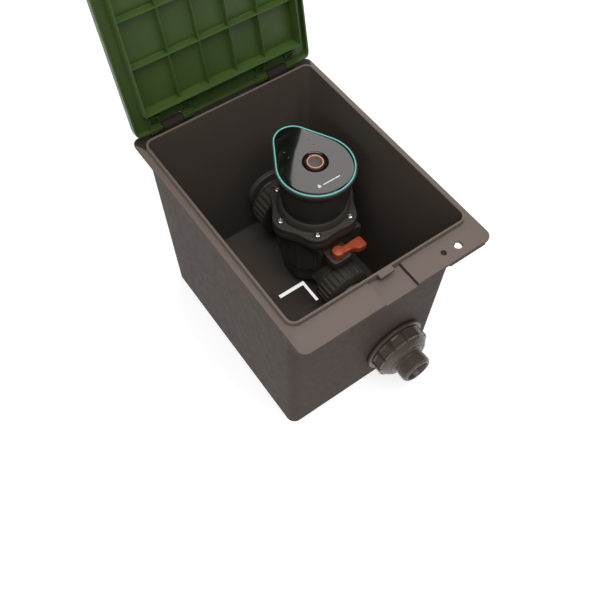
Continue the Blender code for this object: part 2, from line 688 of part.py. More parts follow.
def make_pipe_end(sign, height, port_end, names, nut_radius, nut_ribs):
    """Tube, seal, union nut, wall nut and gasket of one end. The sign is -1 at the front."""
    tube_name, seal_name, union_name, nut_name, gasket_name = names
    centre = (VALVE_X, 0, height)
    wall_inside = half_inside(height)[1]
    wall_outside = wall_inside + WALL
    port = sign * port_end
    turned(tube_name, mirrored(tube_profile(port + 2.9, wall_inside), sign), centre, "Y", 20,
           finish=fitting_plastic())
    tube(seal_name, SEAL_INNER_R, SEAL_OUTER_R, *sorted((sign * (port + GAP), sign * (port + 2.6))), centre,
         "Y", 24, black_rubber())
    nut_start, nut_end = port - 12.0, port + 13.0
    union = [(PORT_R + GAP, nut_start), (nut_radius, nut_start, 1.2), (nut_radius, nut_end - 4.0, 1.2),
             (nut_radius - 1.5, nut_end - 2.5), (nut_radius - 5.0, nut_end), (TUBE_R + 0.4, nut_end),
             (TUBE_R + 0.4, port + 7.2), (PORT_R + GAP, port + 7.2)]
    nut = turned(union_name, mirrored(union, sign), centre, "Y", ribs=nut_ribs, finish=black_plastic())
    centre_on(nut, VALVE_X, sign * port, height)
    wall_nut = turned(nut_name, mirrored(wall_nut_profile(wall_outside), sign), centre, "Y", ribs=12,
                      finish=fitting_plastic())
    centre_on(wall_nut, VALVE_X, sign * (wall_outside + 2), height)
    gasket = wall_outside + GASKET_GAP
    tube(gasket_name, SLEEVE_R + GAP, 32.0, *sorted((sign * gasket, sign * (gasket + GASKET_THICKNESS))),
         centre, "Y", 24, black_rubber())


# ---------------------------------------------------------------- controller head
def head_outline(grow):
    """Teardrop moved outwards from the middle line of the teal ring by a distance."""
    return teardrop(RING_R + grow, TIP_R + grow)


def make_housing():
    """Teardrop shell, open below, with a rim round the face and a hole for the button."""
    sections = [(head_outline(-4.4), HEAD_BOTTOM + 3.3), (head_outline(-2.8), 152.0),
                (head_outline(-1.6), 174.0), (head_outline(0.6), 177.5), (head_outline(2.0), 180.0),
                (head_outline(2.0), HEAD_TOP - 1.4), (head_outline(1.2), HEAD_TOP - 0.4)]
    shell = loft("controller_housing", sections, black_plastic())
    inside = loft("housing_cut", [(head_outline(-6.8), HEAD_BOTTOM), (head_outline(-5.2), 152.0),
                                  (head_outline(-4.4), 178.0)])
    recess = prism("face_recess", head_outline(RING_HALF + GAP), FACE_RECESS, HEAD_TOP + 2)
    hole = rod("button_hole", BUTTON_HOLE_R, 175, 190, (BUTTON_X, BUTTON_Y, 0), steps=28)
    combine(shell, "DIFFERENCE", inside, recess, hole)
    for x, y in HEAD_SCREWS:
        post = rod("screw_post", POST_R, HEAD_BOTTOM + 3.4, 179.0, (x, y, 0), steps=12)
        combine(shell, "UNION", post)
    for x, y in HEAD_SCREWS:
        hole = rod("post_bore", 1.5, HEAD_BOTTOM, 152.0, (x, y, 0), steps=10)
        combine(shell, "DIFFERENCE", hole)
    return shell


def make_head_base():
    """Plate that closes the head from below, its screws and the seal under it."""
    base = prism("head_base", head_outline(-4.6), HEAD_BOTTOM, HEAD_BOTTOM + 3.0, black_plastic())
    combine(base, "DIFFERENCE", rod("core_hole", 4.6, 130, 145, (PILOT_X, PILOT_Y, 0), steps=16))
    for x, y in HEAD_SCREWS:
        combine(base, "DIFFERENCE", rod("sink", 3.0, 136, HEAD_BOTTOM + SCREW_RECESS, (x, y, 0), steps=12),
                rod("shank_hole", 1.6, 136, 142, (x, y, 0), steps=12))
    for i, (x, y) in enumerate(HEAD_SCREWS):
        under, above = HEAD_BOTTOM + 0.2, HEAD_BOTTOM + SCREW_RECESS - GAP
        profile = [(0.0, under), (2.6, under), (2.6, above), (1.2, above), (1.2, 150.0), (0.0, 150.0)]
        turned("head_screw_%d" % (i + 1), profile, (x, y, 0), steps=10, finish=steel())
    tube("head_seal", 24.0, 27.0, BONNET_TOP + 0.2, HEAD_BOTTOM - 0.2, (VALVE_X, VALVE_Y, 0), steps=24,
         finish=black_rubber())


def make_face():
    """Glossy face with a dished hole, and the teal line around it."""
    face = prism("face_plate", head_outline(-RING_HALF - GAP), FACE_LOW, HEAD_TOP + 0.2, gloss_black())
    dish = turned("face_dish", [(0.0, 182.0), (BUTTON_HOLE_R, 182.0), (BUTTON_HOLE_R, 183.9),
                                (DISH_R, HEAD_TOP + 0.21), (DISH_R, HEAD_TOP + 2), (0.0, HEAD_TOP + 2)],
                  (BUTTON_X, BUTTON_Y, 0), steps=28)
    combine(face, "DIFFERENCE", dish)
    ring_prism("teal_ring", head_outline(RING_HALF), head_outline(-RING_HALF), FACE_LOW, HEAD_TOP + 0.1,
               material("teal_line", (0.18, 0.58, 0.53), 0.3))


def make_button():
    """Pressed button with a bright ring let into its top, and its return spring."""
    top = HEAD_TOP + 0.9
    profile = [(0.0, BUTTON_FLANGE), (10.8, BUTTON_FLANGE), (10.8, BUTTON_FLANGE + 0.8),
               (9.3, BUTTON_FLANGE + 0.8), (9.3, top - 0.9),
               (8.6, top - 0.2), (8.3, top - 0.2), (8.3, top - 1.0), (6.7, top - 1.0), (6.7, top - 0.3),
               (5.8, top - 0.6), (0.0, top - 0.8)]
    button = turned("button", profile, (BUTTON_X, BUTTON_Y, 0), steps=28,
                    finish=material("button_brown", (0.16, 0.055, 0.035), 0.35))
    ring = tube("button_ring", 7.0, 8.0, top - 0.7, top, (BUTTON_X, BUTTON_Y, 0), steps=28,
                finish=material("button_orange", (0.75, 0.30, 0.17), 0.3))
    for piece in (button, ring):
        centre_on(piece, BUTTON_X, BUTTON_Y, BUTTON_FLANGE)
    spring("button_spring", 5.0, 0.35, 3, BOARD_LOW + BOARD_THICKNESS + GAP, BUTTON_FLANGE - GAP,
           (BUTTON_X, BUTTON_Y, 0), steel())


def make_electronics():
    """Board, battery with its tray and clip, and the pilot solenoid."""
    board = prism("circuit_board", head_outline(-6.6), BOARD_LOW, BOARD_LOW + BOARD_THICKNESS,
                  material("board_green", (0.02, 0.12, 0.05), 0.5))
    for x, y in HEAD_SCREWS:
        combine(board, "DIFFERENCE", rod("board_hole", POST_R + 0.4, BOARD_LOW - 2, BOARD_LOW + 4,
                                         (x, y, 0), steps=12))
    low = (HEAD_X - BATTERY_HALF_X, BATTERY_LOW_Y)
    high = (HEAD_X + BATTERY_HALF_X, BATTERY_HIGH_Y)
    rest = HEAD_BOTTOM + 3.3
    prism("battery", rounded_rectangle(low, high, 2.0, 2), rest + 2.0, rest + 2.0 + BATTERY_HEIGHT,
          material("battery_steel", (0.25, 0.25, 0.27), 0.35, 0.6))
    tray = block("battery_tray", (low[0] - TRAY_WALL, low[1] - TRAY_WALL, rest),
                 (high[0] + 0.3, high[1] + TRAY_WALL, rest + 9), black_plastic())
    combine(tray, "DIFFERENCE", block("tray_cut", (low[0] - GAP, low[1] - GAP, rest + 1.7),
                                      (high[0] + 2.0, high[1] + GAP, rest + 12)))
    block("battery_clip", (high[0] + 0.7, low[1] + 3, rest + 3.0), (high[0] + 2.6, high[1] - 3, rest + 18.0),
          black_plastic())
    centre = (PILOT_X, PILOT_Y, 0)
    tube("solenoid_coil", 4.9, 8.6, rest + 2.6, rest + 22.0, centre, steps=20,
         finish=material("coil_copper", (0.45, 0.16, 0.06), 0.35, 0.8))
    core = [(0.0, 163.2), (3.6, 163.2), (3.6, rest), (7.0, rest), (7.0, rest + 2.2), (4.4, rest + 2.2),
            (4.4, 164.6), (0.0, 164.6)]
    turned("core_tube", core, centre, steps=16, finish=steel())
    tip = BONNET_TOP + GAP
    plunger = [(0.0, tip), (2.2, tip), (3.2, tip + 2.0), (3.2, 155.0), (0.0, 155.0)]
    made = turned("plunger", plunger, centre, steps=12, finish=steel())
    centre_on(made, PILOT_X, PILOT_Y, tip)
    spring("plunger_spring", 2.4, 0.35, 4, 155.3, 162.9, centre, steel())


def main():
    for old in list(bpy.data.objects):
        bpy.data.objects.remove(old, do_unlink=True)
    make_box_shell()
    make_drain_plate()
    axle = empty("lid_axle", 0, HINGE_Y, HINGE_Z)
    make_lid(axle)
    make_hinge_pins(axle)
    make_lock_bolt(axle)
    axle.rotation_euler.x = -radians(OPEN_ANGLE)
    make_valve_body()
    make_bonnet()
    make_bonnet_screws()
    make_valve_works()
    make_lever()
    make_pipe_end(-1, OUTLET_Z, OUTLET_PORT_END, ("outlet_tube", "outlet_seal", "outlet_union_nut",
                                                  "wall_nut", "wall_gasket"), 26.0, 10)
    make_pipe_end(1, INLET_Z, INLET_PORT_END, ("inlet_tube", "inlet_seal", "inlet_union_nut",
                                               "back_wall_nut", "back_wall_gasket"), 32.0, 12)
    make_housing()
    make_head_base()
    make_face()
    make_button()
    make_electronics()


main()
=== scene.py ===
"""Battery irrigation valve with its controller head, in a ground box whose lid stands open.

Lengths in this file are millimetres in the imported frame: origin at the middle of the base, +Z up
and +Y back towards the hinge. They are turned into metres as each mesh is made.
"""
import json
from math import asin, cos, pi, radians, sin

import bmesh
import bpy
import numpy as np
from bpy.props import FloatProperty, FloatVectorProperty, IntProperty, PointerProperty
from mathutils import Matrix, Vector


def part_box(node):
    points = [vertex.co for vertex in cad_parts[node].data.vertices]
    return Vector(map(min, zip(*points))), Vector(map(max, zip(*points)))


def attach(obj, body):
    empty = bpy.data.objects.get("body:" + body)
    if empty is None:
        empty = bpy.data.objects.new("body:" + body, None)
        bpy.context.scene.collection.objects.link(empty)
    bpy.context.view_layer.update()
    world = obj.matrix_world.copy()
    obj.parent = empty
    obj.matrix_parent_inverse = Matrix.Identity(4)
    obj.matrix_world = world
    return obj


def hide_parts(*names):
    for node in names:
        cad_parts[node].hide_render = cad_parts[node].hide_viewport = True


bl_info = {
    "name": "Irrigation Valve Box",
    "version": (1, 0, 0),
    "blender": (4, 5, 0),
    "location": "View3D > Sidebar > Valve Box",
    "description": "Builds a ground box with an irrigation valve and its controller head",
    "category": "Object",
}

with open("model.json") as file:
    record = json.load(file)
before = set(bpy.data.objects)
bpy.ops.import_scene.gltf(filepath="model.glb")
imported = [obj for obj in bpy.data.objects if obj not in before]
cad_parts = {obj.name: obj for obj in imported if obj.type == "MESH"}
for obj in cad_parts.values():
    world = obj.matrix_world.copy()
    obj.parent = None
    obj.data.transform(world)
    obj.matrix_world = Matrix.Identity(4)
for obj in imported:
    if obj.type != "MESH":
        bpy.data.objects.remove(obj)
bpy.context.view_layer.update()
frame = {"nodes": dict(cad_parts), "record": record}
NODES = frame["nodes"]
SLOT_OF = {part["node"]: part["material_slot"] for part in frame["record"]["subparts"]}
MM = 0.001


def span(node):
    """Lowest and highest corner of a node, in millimetres."""
    low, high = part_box(node)
    return np.array(low) / MM, np.array(high) / MM


# Box
BOX_LOW, BOX_HIGH = span("box_shell")
WALL_TOP, FLANGE_TOP, FLOOR_TOP = 215.0, 210.0, 15.5
WALL_CORNER, WALL_BORE = 6.8, 21.4
LIP_ROUND = 0.7
FLANGE_BACK, FLANGE_CORNER = 127.5, 7.5
DRAIN_HALF_X, DRAIN_HALF_Y = 17.0, 15.0
NOTCH_HALF, NOTCH_DROP = 16.3, 3.0
FRONT_LIP_Y = -115.0
BLIND_HOLE_X, BLIND_HOLE_Y = 53.1, -128.9
EAR_X = 94.3

# Lid, drawn shut about the hinge line with the opening towards -Y
HINGE_Y, HINGE_Z = 122.9, 215.0
OPEN_ANGLE = radians(102.5)
LID_HALF_X, LID_NEAR, LID_FAR = 95.4, 1.0, 261.0
LUG_X, KNUCKLES_X = 57.5, (41.0, 74.0)
WINDOW_HALF, WINDOW_NEAR, WINDOW_FAR = 3.3, 6.3, 12.6
BOLT_X, BOLT_Y = 68.4, -252.5

# Valve and pipe ends
VALVE_X, VALVE_Y = 36.0, 27.0
OUTLET_Z, INLET_Z = 46.0, 68.0
SCREW_CIRCLE, SCREW_COUNT = 40.0, 6
SCREW_SEAT, SCREW_TOP, SCREW_DOME = 126.8, 3.3, 3.75
LEVER_X, LEVER_Y = 34.0, -20.0
TUBE_BORE, THREAD_ROOT = 12.6, 15.4

# Controller head
HEAD_X, HEAD_Y = 36.0, 25.4
HEAD_BIG, HEAD_SMALL, HEAD_LENGTH = 37.3, 18.9, 36.9
HEAD_POINTS = 112
BUTTON_X, BUTTON_Y = 37.3, 28.4
BUTTON_WELL = 9.9


# ---------------------------------------------------------------- surfaces
def grid(points, around=False, along=False):
    """Quads between the rows and columns of an array of points; around joins the last column to
    the first and along joins the last row to the first."""
    points = np.asarray(points, float)
    rows, columns = points.shape[:2]
    row = np.arange(rows if along else rows - 1)
    column = np.arange(columns if around else columns - 1)
    row, column = np.meshgrid(row, column, indexing="ij")
    below, beside = (row + 1) % rows, (column + 1) % columns
    faces = np.stack([row * columns + column, row * columns + beside, below * columns + beside,
                      below * columns + column], -1).reshape(-1, 4)
    return points.reshape(-1, 3), faces


def wrapped(rows):
    """Closed ring-shaped surface through rows of points that are themselves closed."""
    return grid(np.stack(rows), around=True, along=True)


def eased(points, radius, steps=4, closed=False):
    """Line through corner points, each rounded by a parabola that starts and ends at most a radius away:
    (1-t)^2 A + 2t(1-t) P + t^2 B, with A and B on the two legs of the corner P."""
    points = np.asarray(points, float)
    radius = np.broadcast_to(radius, len(points))
    t = np.linspace(0, 1, steps)[:, None]
    line = []
    for i, corner in enumerate(points):
        if not closed and i in (0, len(points) - 1):
            line.append(corner[None])
            continue
        legs = [points[i - 1] - corner, points[(i + 1) % len(points)] - corner]
        ends = [corner + leg * min(0.45, radius[i] / max(np.linalg.norm(leg), 1e-9)) for leg in legs]
        line.append((1 - t) ** 2 * ends[0] + 2 * t * (1 - t) * corner + t ** 2 * ends[1])
    return np.concatenate(line)


def turned(profile, centre, axis="Z", steps=64, swell=None, ring=False):
    """Profile of (radius, height) turned about an axis: the point at angle a is radius*cos(a)
    across, radius*sin(a) up, and height along. swell(height, angle) is added to the radius."""
    profile = np.asarray(profile, float)
    angle = np.linspace(0, 2 * pi, steps, endpoint=False)[None]
    height = profile[:, 1][:, None] + 0 * angle
    radius = profile[:, 0][:, None] + 0 * angle
    if swell is not None:
        radius = radius + swell(radius, height, angle)
    across, up = radius * np.cos(angle), radius * np.sin(angle)
    order = {"Z": (across, up, height), "Y": (across, height, up), "X": (height, across, up)}[axis]
    return grid(np.stack(order, -1) + np.asarray(centre, float), around=True, along=ring)


def corners(turn, place, radius, order):
    """Quarter circles, one for each (side in x, side in y, start angle) in order."""
    parts = []
    for side_x, side_y, start in order:
        centre = np.array(place(side_x, side_y))
        parts.append(centre + radius * np.stack([np.cos(turn + start), np.sin(turn + start)], -1))
    return parts


def loop(half_x, low, high, radius, scale=1.0):
    """Rounded rectangle. Corners are quarter circles; the straight sides carry points at fixed
    places, so that two loops of different size match point by point."""
    half_front = np.array([6, 15.5, 16.2, 17, 25, 40, 60, 80]) * scale
    front = np.concatenate([-half_front[::-1], half_front])
    side = np.array([-80, -40, 0, 40, 80.0]) * scale
    parts = corners(np.linspace(0, pi / 2, 7),
                    lambda sx, sy: (sx * (half_x - radius), (high if sy > 0 else low) - sy * radius), radius,
                    ((1, -1, -pi / 2), (1, 1, 0), (-1, 1, pi / 2), (-1, -1, pi)))
    ahead = np.stack([front, np.full_like(front, low)], -1)
    right = np.stack([np.full_like(side, half_x), side], -1)
    back = np.stack([front[::-1], np.full_like(front, high)], -1)
    left = np.stack([np.full_like(side, -half_x), side[::-1]], -1)
    return np.concatenate([ahead, parts[0], right, parts[1], back, parts[2], left, parts[3]])


def lifted(outline, z):
    """Outline of (x, y) points as a row of points at a height."""
    return np.concatenate([outline, np.full((len(outline), 1), float(z))], 1)


def stacked(outlines, heights):
    """Closed body through matching outlines, one above the other, with its two ends closed onto
    their middles."""
    rows = [lifted(outline, z) for outline, z in zip(outlines, heights)]
    rows.insert(0, np.repeat(rows[0].mean(0)[None], len(rows[0]), 0))
    rows.append(np.repeat(rows[-1].mean(0)[None], len(rows[-1]), 0))
    return grid(np.stack(rows), around=True)


def pad(low, high, radius, edge=0.5, steps=5):
    """Block with rounded upright corners and rounded top and bottom edges: the rounded rectangle
    is drawn in by edge*(1-sin(a)) as it rises by edge*(1-cos(a))."""
    turn = np.linspace(0, pi / 2, steps)
    inset = edge * (1 - np.sin(turn))
    rise = edge * (1 - np.cos(turn))
    outlines, heights = [], []
    for pull, z in list(zip(inset, low[2] + rise)) + list(zip(inset[::-1], high[2] - rise[::-1])):
        r = max(radius - pull, 0.05)
        outlines.append(np.concatenate(corners(
            turn, lambda sx, sy: ((high[0] - pull - r) if sx > 0 else (low[0] + pull + r),
                                  (high[1] - pull - r) if sy > 0 else (low[1] + pull + r)), r,
            ((1, 1, 0), (-1, 1, pi / 2), (-1, -1, pi), (1, -1, 1.5 * pi)))))
        heights.append(z)
    return stacked(outlines, heights)


def swept(path, radius, sides=8):
    """Round wire along a path: each ring lies across the path's tangent and is closed at its ends."""
    path = np.asarray(path, float)
    tangent = np.gradient(path, axis=0)
    tangent /= np.linalg.norm(tangent, axis=1)[:, None]
    side = np.cross(tangent, [0.0, 0.0, 1.0])
    side /= np.linalg.norm(side, axis=1)[:, None]
    over = np.cross(side, tangent)
    bend = np.linspace(0, 2 * pi, sides, endpoint=False)[None, :, None]
    rings = path[:, None] + radius * (np.cos(bend) * side[:, None] + np.sin(bend) * over[:, None])
    ends = [np.repeat(path[i][None, None], sides, 1) for i in (0, -1)]
    return grid(np.concatenate([ends[0], rings, ends[1]]), around=True)


def helix(centre, radius, low, high, turns, per_turn=24):
    """Path that climbs evenly from low to high while it goes round."""
    t = np.linspace(0, 1, int(turns * per_turn) + 1)
    angle = 2 * pi * turns * t
    return np.stack([centre[0] + radius * np.cos(angle), centre[1] + radius * np.sin(angle),
                     low + (high - low) * t], -1)


def smooth(t):
    """0 below 0, 1 above 1, and t*t*(3-2t) between."""
    t = np.clip(t, 0, 1)
    return t * t * (3 - 2 * t)


def band(value, low, high, soft):
    """1 between two limits and 0 outside them, with soft edges."""
    return smooth((value - low) / soft + 0.5) * smooth((high - value) / soft + 0.5)


def teardrop(grow=0.0):
    """Two circles, the small one further back, wrapped by their tangents and moved outwards."""
    big, small = HEAD_BIG + grow, HEAD_SMALL + grow
    lean = asin((big - small) / HEAD_LENGTH)
    back_points = HEAD_POINTS // 4
    first = np.linspace(pi - lean, 2 * pi + lean, HEAD_POINTS - back_points - 6)
    last = np.linspace(lean, pi - lean, back_points)
    front = np.stack([HEAD_X + big * np.cos(first), HEAD_Y + big * np.sin(first)], -1)
    back = np.stack([HEAD_X + small * np.cos(last), HEAD_Y + HEAD_LENGTH + small * np.sin(last)], -1)
    t = np.linspace(0, 1, 5)[1:-1, None]
    return np.concatenate([front, front[-1] + t * (back[0] - front[-1]), back,
                           back[-1] + t * (front[0] - back[-1])])


def ring_about_button(radius, outline):
    """Circle about the button, each point in line with the matching point of an outline."""
    angle = np.arctan2(outline[:, 1] - BUTTON_Y, outline[:, 0] - BUTTON_X)
    return np.stack([BUTTON_X + radius * np.cos(angle), BUTTON_Y + radius * np.sin(angle)], -1)


def opened(points):
    """Points of the shut lid, drawn about the hinge line, turned up by the opening angle."""
    points = np.asarray(points, float)
    c, s = cos(-OPEN_ANGLE), sin(-OPEN_ANGLE)
    y, z = points[..., 1], points[..., 2]
    return np.stack([points[..., 0], HINGE_Y + y * c - z * s, HINGE_Z + y * s + z * c], -1)


# ---------------------------------------------------------------- pieces
def added(name, data):
    """New object in the scene."""
    made = bpy.data.objects.new(name, data)
    bpy.context.scene.collection.objects.link(made)
    return made


def solid(name, points, faces, index=0):
    """Mesh from points in millimetres, with its doubles merged and its faces turned outwards."""
    mesh = bpy.data.meshes.new(name)
    mesh.from_pydata(points * MM, [], faces.tolist())
    mesh.polygons.foreach_set("material_index", np.broadcast_to(index, len(faces)).astype(np.int32))
    work = bmesh.new()
    work.from_mesh(mesh)
    bmesh.ops.remove_doubles(work, verts=work.verts, dist=2e-6)
    bmesh.ops.dissolve_degenerate(work, edges=work.edges, dist=1e-7)
    bmesh.ops.recalc_face_normals(work, faces=work.faces)
    work.to_mesh(mesh)
    work.free()
    return mesh


def shade(mesh, sharp):
    """Smooth shading, broken at edges sharper than an angle in degrees."""
    mesh.shade_smooth()
    mesh.set_sharp_from_angle(angle=radians(sharp))


def piece(name, shells, body, slot, replaces=(), finishes=(), sharp=38):
    """One mesh object from surfaces in millimetres, riding on a body, in its slot's finish or in the
    named ones. A shell may carry a third entry: the index of the finish that its faces take, or an
    array with one for each face."""
    first = np.cumsum([0] + [len(shell[0]) for shell in shells])
    faces = np.concatenate([shell[1] + base for shell, base in zip(shells, first)])
    index = [np.broadcast_to(shell[2] if len(shell) > 2 else 0, len(shell[1])) for shell in shells]
    mesh = solid(name, np.concatenate([shell[0] for shell in shells]), faces, np.concatenate(index))
    made = added(name, mesh)
    for item in finishes or [slot]:
        mesh.materials.append(finish(item))
    shade(mesh, sharp)
    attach(made, body)
    if replaces:
        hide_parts(*replaces)
    return made


def cut(made, *cutters, sharp=38):
    """Takes solid shells away from a piece and keeps only the result."""
    for points, faces in cutters:
        tool = added("cutter", solid("cutter", points, faces))
        step = made.modifiers.new("cut", "BOOLEAN")
        step.operation, step.solver, step.object = "DIFFERENCE", "EXACT", tool
        bpy.context.view_layer.update()
        graph = bpy.context.evaluated_depsgraph_get()
        result = bpy.data.meshes.new_from_object(made.evaluated_get(graph))
        made.modifiers.clear()
        spent = (made.data, tool.data)
        made.data = result
        bpy.data.objects.remove(tool)
        for mesh in spent:
            bpy.data.meshes.remove(mesh)
    made.data.name = made.name
    shade(made.data, sharp)


def rod(radius, low, high, centre, axis="Z", steps=32, edge=0.0):
    """Solid cylinder, with its edges rounded when an edge is given."""
    profile = [(0, low), (radius, low), (radius, high), (0, high)]
    return turned(eased(profile, edge) if edge else profile, centre, axis, steps)


# ---------------------------------------------------------------- finishes
def tint(red, green, blue):
    """Screen colour, 0 to 255, as linear light."""
    value = np.array([red, green, blue]) / 255.0
    return tuple(np.where(value <= 0.04045, value / 12.92, ((value + 0.055) / 1.055) ** 2.4))


class Finish:
    """Builder for one procedural material read from Object coordinates."""

    def __init__(self, name, roughness, metallic=0.0):
        self.material = bpy.data.materials.new(name)
        self.material.use_nodes = True
        self.tree = self.material.node_tree
        self.shader = self.tree.nodes["Principled BSDF"]
        self.shader.inputs["Roughness"].default_value = roughness
        self.shader.inputs["Metallic"].default_value = metallic
        self.place = self.node("ShaderNodeTexCoord").outputs["Object"]
        self.relief = None

    def node(self, kind, **settings):
        made = self.tree.nodes.new(kind)
        for key, value in settings.items():
            setattr(made, key, value)
        return made

    def link(self, source, target):
        self.tree.links.new(source, target)

    def stretched(self, x, y, z):
        """Object coordinates with a different scale along each axis."""
        mapping = self.node("ShaderNodeMapping")
        mapping.inputs["Scale"].default_value = (x, y, z)
        self.link(self.place, mapping.inputs["Vector"])
        return mapping.outputs["Vector"]

    def noise(self, scale, detail=3.0, roughness=0.55, place=None):
        made = self.node("ShaderNodeTexNoise")
        made.inputs["Scale"].default_value = scale
        made.inputs["Detail"].default_value = detail
        made.inputs["Roughness"].default_value = roughness
        self.link(place or self.place, made.inputs["Vector"])
        return made.outputs["Fac"]

    def ranged(self, value, low, high, start=0.3, end=0.7):
        """Value between start and end spread over low to high."""
        made = self.node("ShaderNodeMapRange")
        for key, number in (("From Min", start), ("From Max", end), ("To Min", low), ("To Max", high)):
            made.inputs[key].default_value = number
        self.link(value, made.inputs["Value"])
        return made.outputs["Result"]

    def mixed(self, amount, first, second):
        """Two colours mixed by a factor; a colour may be a socket or three numbers."""
        made = self.node("ShaderNodeMix", data_type="RGBA")
        self.link(amount, made.inputs[0])
        for socket, colour in ((made.inputs[6], first), (made.inputs[7], second)):
            if hasattr(colour, "__len__"):
                socket.default_value = (*colour[:3], 1.0)
            else:
                self.link(colour, socket)
        return made.outputs[2]

    def colour(self, value):
        if hasattr(value, "__len__"):
            self.shader.inputs["Base Color"].default_value = (*value[:3], 1.0)
        else:
            self.link(value, self.shader.inputs["Base Color"])

    def rough(self, value):
        self.link(value, self.shader.inputs["Roughness"])

    def bump(self, value, strength, distance=0.0001):
        """Adds relief on top of any that is already there."""
        made = self.node("ShaderNodeBump")
        made.inputs["Strength"].default_value = strength
        made.inputs["Distance"].default_value = distance
        self.link(value, made.inputs["Height"])
        if self.relief:
            self.link(self.relief, made.inputs["Normal"])
        self.relief = made.outputs["Normal"]
        self.link(self.relief, self.shader.inputs["Normal"])

    def finished(self, **values):
        """The material, with these values set on its shader."""
        for key, value in values.items():
            self.shader.inputs[key.replace("_", " ")].default_value = value
        return self.material


def moulded(name, colour, roughness, grain=0.12, blotch=22.0, contrast=0.16, shine=0.5, painted_shade=0.0):
    """Moulded plastic: broad flow marks in the colour, a fine spark-eroded grain and uneven gloss.
    A painted shade darkens it towards the bottom of the box."""
    made = Finish(name, roughness)
    flow = made.ranged(made.noise(blotch, 4.0, 0.6), 0.0, 1.0)
    base = made.mixed(flow, colour * (1 - contrast), colour * (1 + contrast))
    speck = made.noise(900.0, 2.0, 0.5)
    base = made.mixed(made.ranged(speck, 0.0, 0.35, 0.55, 0.8), base, colour * 1.35)
    # painted shade: near the bottom of the box the colour is mixed towards a fifth of itself, standing in for
    # the shade deep inside it
    if painted_shade:
        parts = made.node("ShaderNodeSeparateXYZ")
        made.link(made.place, parts.inputs["Vector"])
        base = made.mixed(made.ranged(parts.outputs["Z"], painted_shade, 0.0, 0.0, 0.16), base, colour * 0.2)
    made.colour(base)
    made.rough(made.ranged(made.noise(140.0, 3.0), roughness - 0.06, roughness + 0.07))
    made.bump(made.noise(1500.0, 3.0, 0.6), grain)
    return made.finished(Specular_IOR_Level=shine)


def chosen(setting, share=1.0):
    """A colour from the settings, with its channels taken times a share."""
    return np.array(getattr(bpy.context.scene.valve_box, setting)) * share


def box_plastic():
    return moulded("box_plastic", chosen("box_colour"), 0.52, 0.08, 9.0, 0.03, 0.25)


# Painted shade: a darker copy of the box plastic for the outer walls, the ears, the turned-down front edges
# and the blind hole's floor, standing in for their shade.
def shaded_box_walls():
    return moulded("shaded_box_walls", chosen("box_colour", (0.37, 0.345, 0.34)), 0.62, 0.06, 9.0, 0.03, 0.12)


# Painted shade: a much darker copy of the box plastic for the hinge lugs and the flange behind the back lip,
# standing in for the shade under the open lid.
def shaded_hinge_plastic():
    return moulded("shaded_hinge_plastic", chosen("box_colour", 0.24), 0.65, 0.06, 9.0, 0.03, 0.1)


# Painted shade: a darker copy of the box plastic for the inside of the box and the drain baffle, with more
# painted shade towards the bottom.
def shaded_box_inside():
    return moulded("shaded_box_inside", chosen("shaded_inside_colour"), 0.58, 0.14, 9.0, 0.05, 0.2, 0.6)


def lid_plastic():
    return moulded("lid_plastic", chosen("lid_colour"), 0.42, 0.14, 16.0, 0.07, 0.4)


# Painted shade: darker towards the bottom of the box.
def valve_plastic():
    return moulded("valve_plastic", chosen("valve_colour"), 0.55, 0.14, 30.0, 0.08, 0.3, 0.3)


def fitting_plastic():
    return moulded("fitting_plastic", chosen("fitting_colour"), 0.34, 0.08, 30.0, 0.06, 0.5)


def lever_plastic():
    return moulded("lever_plastic", chosen("lever_colour"), 0.40, 0.10, 60.0, 0.08)


def face_gloss():
    """Polished black cover with faint wipe marks in its gloss."""
    made = Finish("face_gloss", 0.07)
    smear = made.noise(30.0, 4.0, 0.6, made.stretched(1.0, 2.4, 1.0))
    made.colour(made.mixed(made.ranged(smear, 0.0, 1.0), (0.0065, 0.0068, 0.0066), (0.0095, 0.0092, 0.0088)))
    made.rough(made.ranged(smear, 0.05, 0.10))
    return made.finished(IOR=1.66, Specular_Tint=(1.0, 0.93, 0.87, 1.0), Coat_Weight=0.4, Coat_Roughness=0.03)


def painted_line(name, colour, roughness=0.28, painted_glow=0.0):
    """Thin moulded trim with slight unevenness in tone and gloss, and a painted glow: emission that brightens
    it, though it is no lamp.
    """
    made = Finish(name, roughness)
    colour = np.array(colour)
    tone = made.noise(90.0, 3.0)
    made.colour(made.mixed(made.ranged(tone, 0.0, 1.0), colour * 0.92, colour * 1.08))
    made.rough(made.ranged(made.noise(400.0, 2.0), roughness - 0.05, roughness + 0.06))
    made.bump(made.noise(1800.0, 2.0), 0.04)
    # painted glow: emission in the trim's own colour
    return made.finished(Emission_Color=(*colour, 1.0), Emission_Strength=painted_glow)


def steel():
    """Bright steel with fine turning marks and a slightly cloudy surface."""
    made = Finish("steel", 0.22, 1.0)
    fine = made.noise(700.0, 3.0, 0.6, made.stretched(1.0, 1.0, 6.0))
    made.colour(made.mixed(made.ranged(made.noise(160.0), 0.0, 1.0), (0.55, 0.54, 0.52), (0.72, 0.71, 0.69)))
    made.rough(made.ranged(fine, 0.16, 0.32))
    made.bump(fine, 0.05)
    return made.finished()


def rubber():
    """Black rubber, matt, with a fine skin and a dusting of talc."""
    made = Finish("rubber", 0.75)
    talc = made.noise(260.0, 6.0, 0.7)
    dust = made.ranged(talc, 0.0, 0.35, 0.55, 0.8)
    made.colour(made.mixed(dust, (0.040, 0.037, 0.034), (0.09, 0.09, 0.085)))
    made.rough(made.ranged(made.noise(500.0), 0.65, 0.85))
    made.bump(made.noise(1300.0, 4.0), 0.2)
    return made.finished()


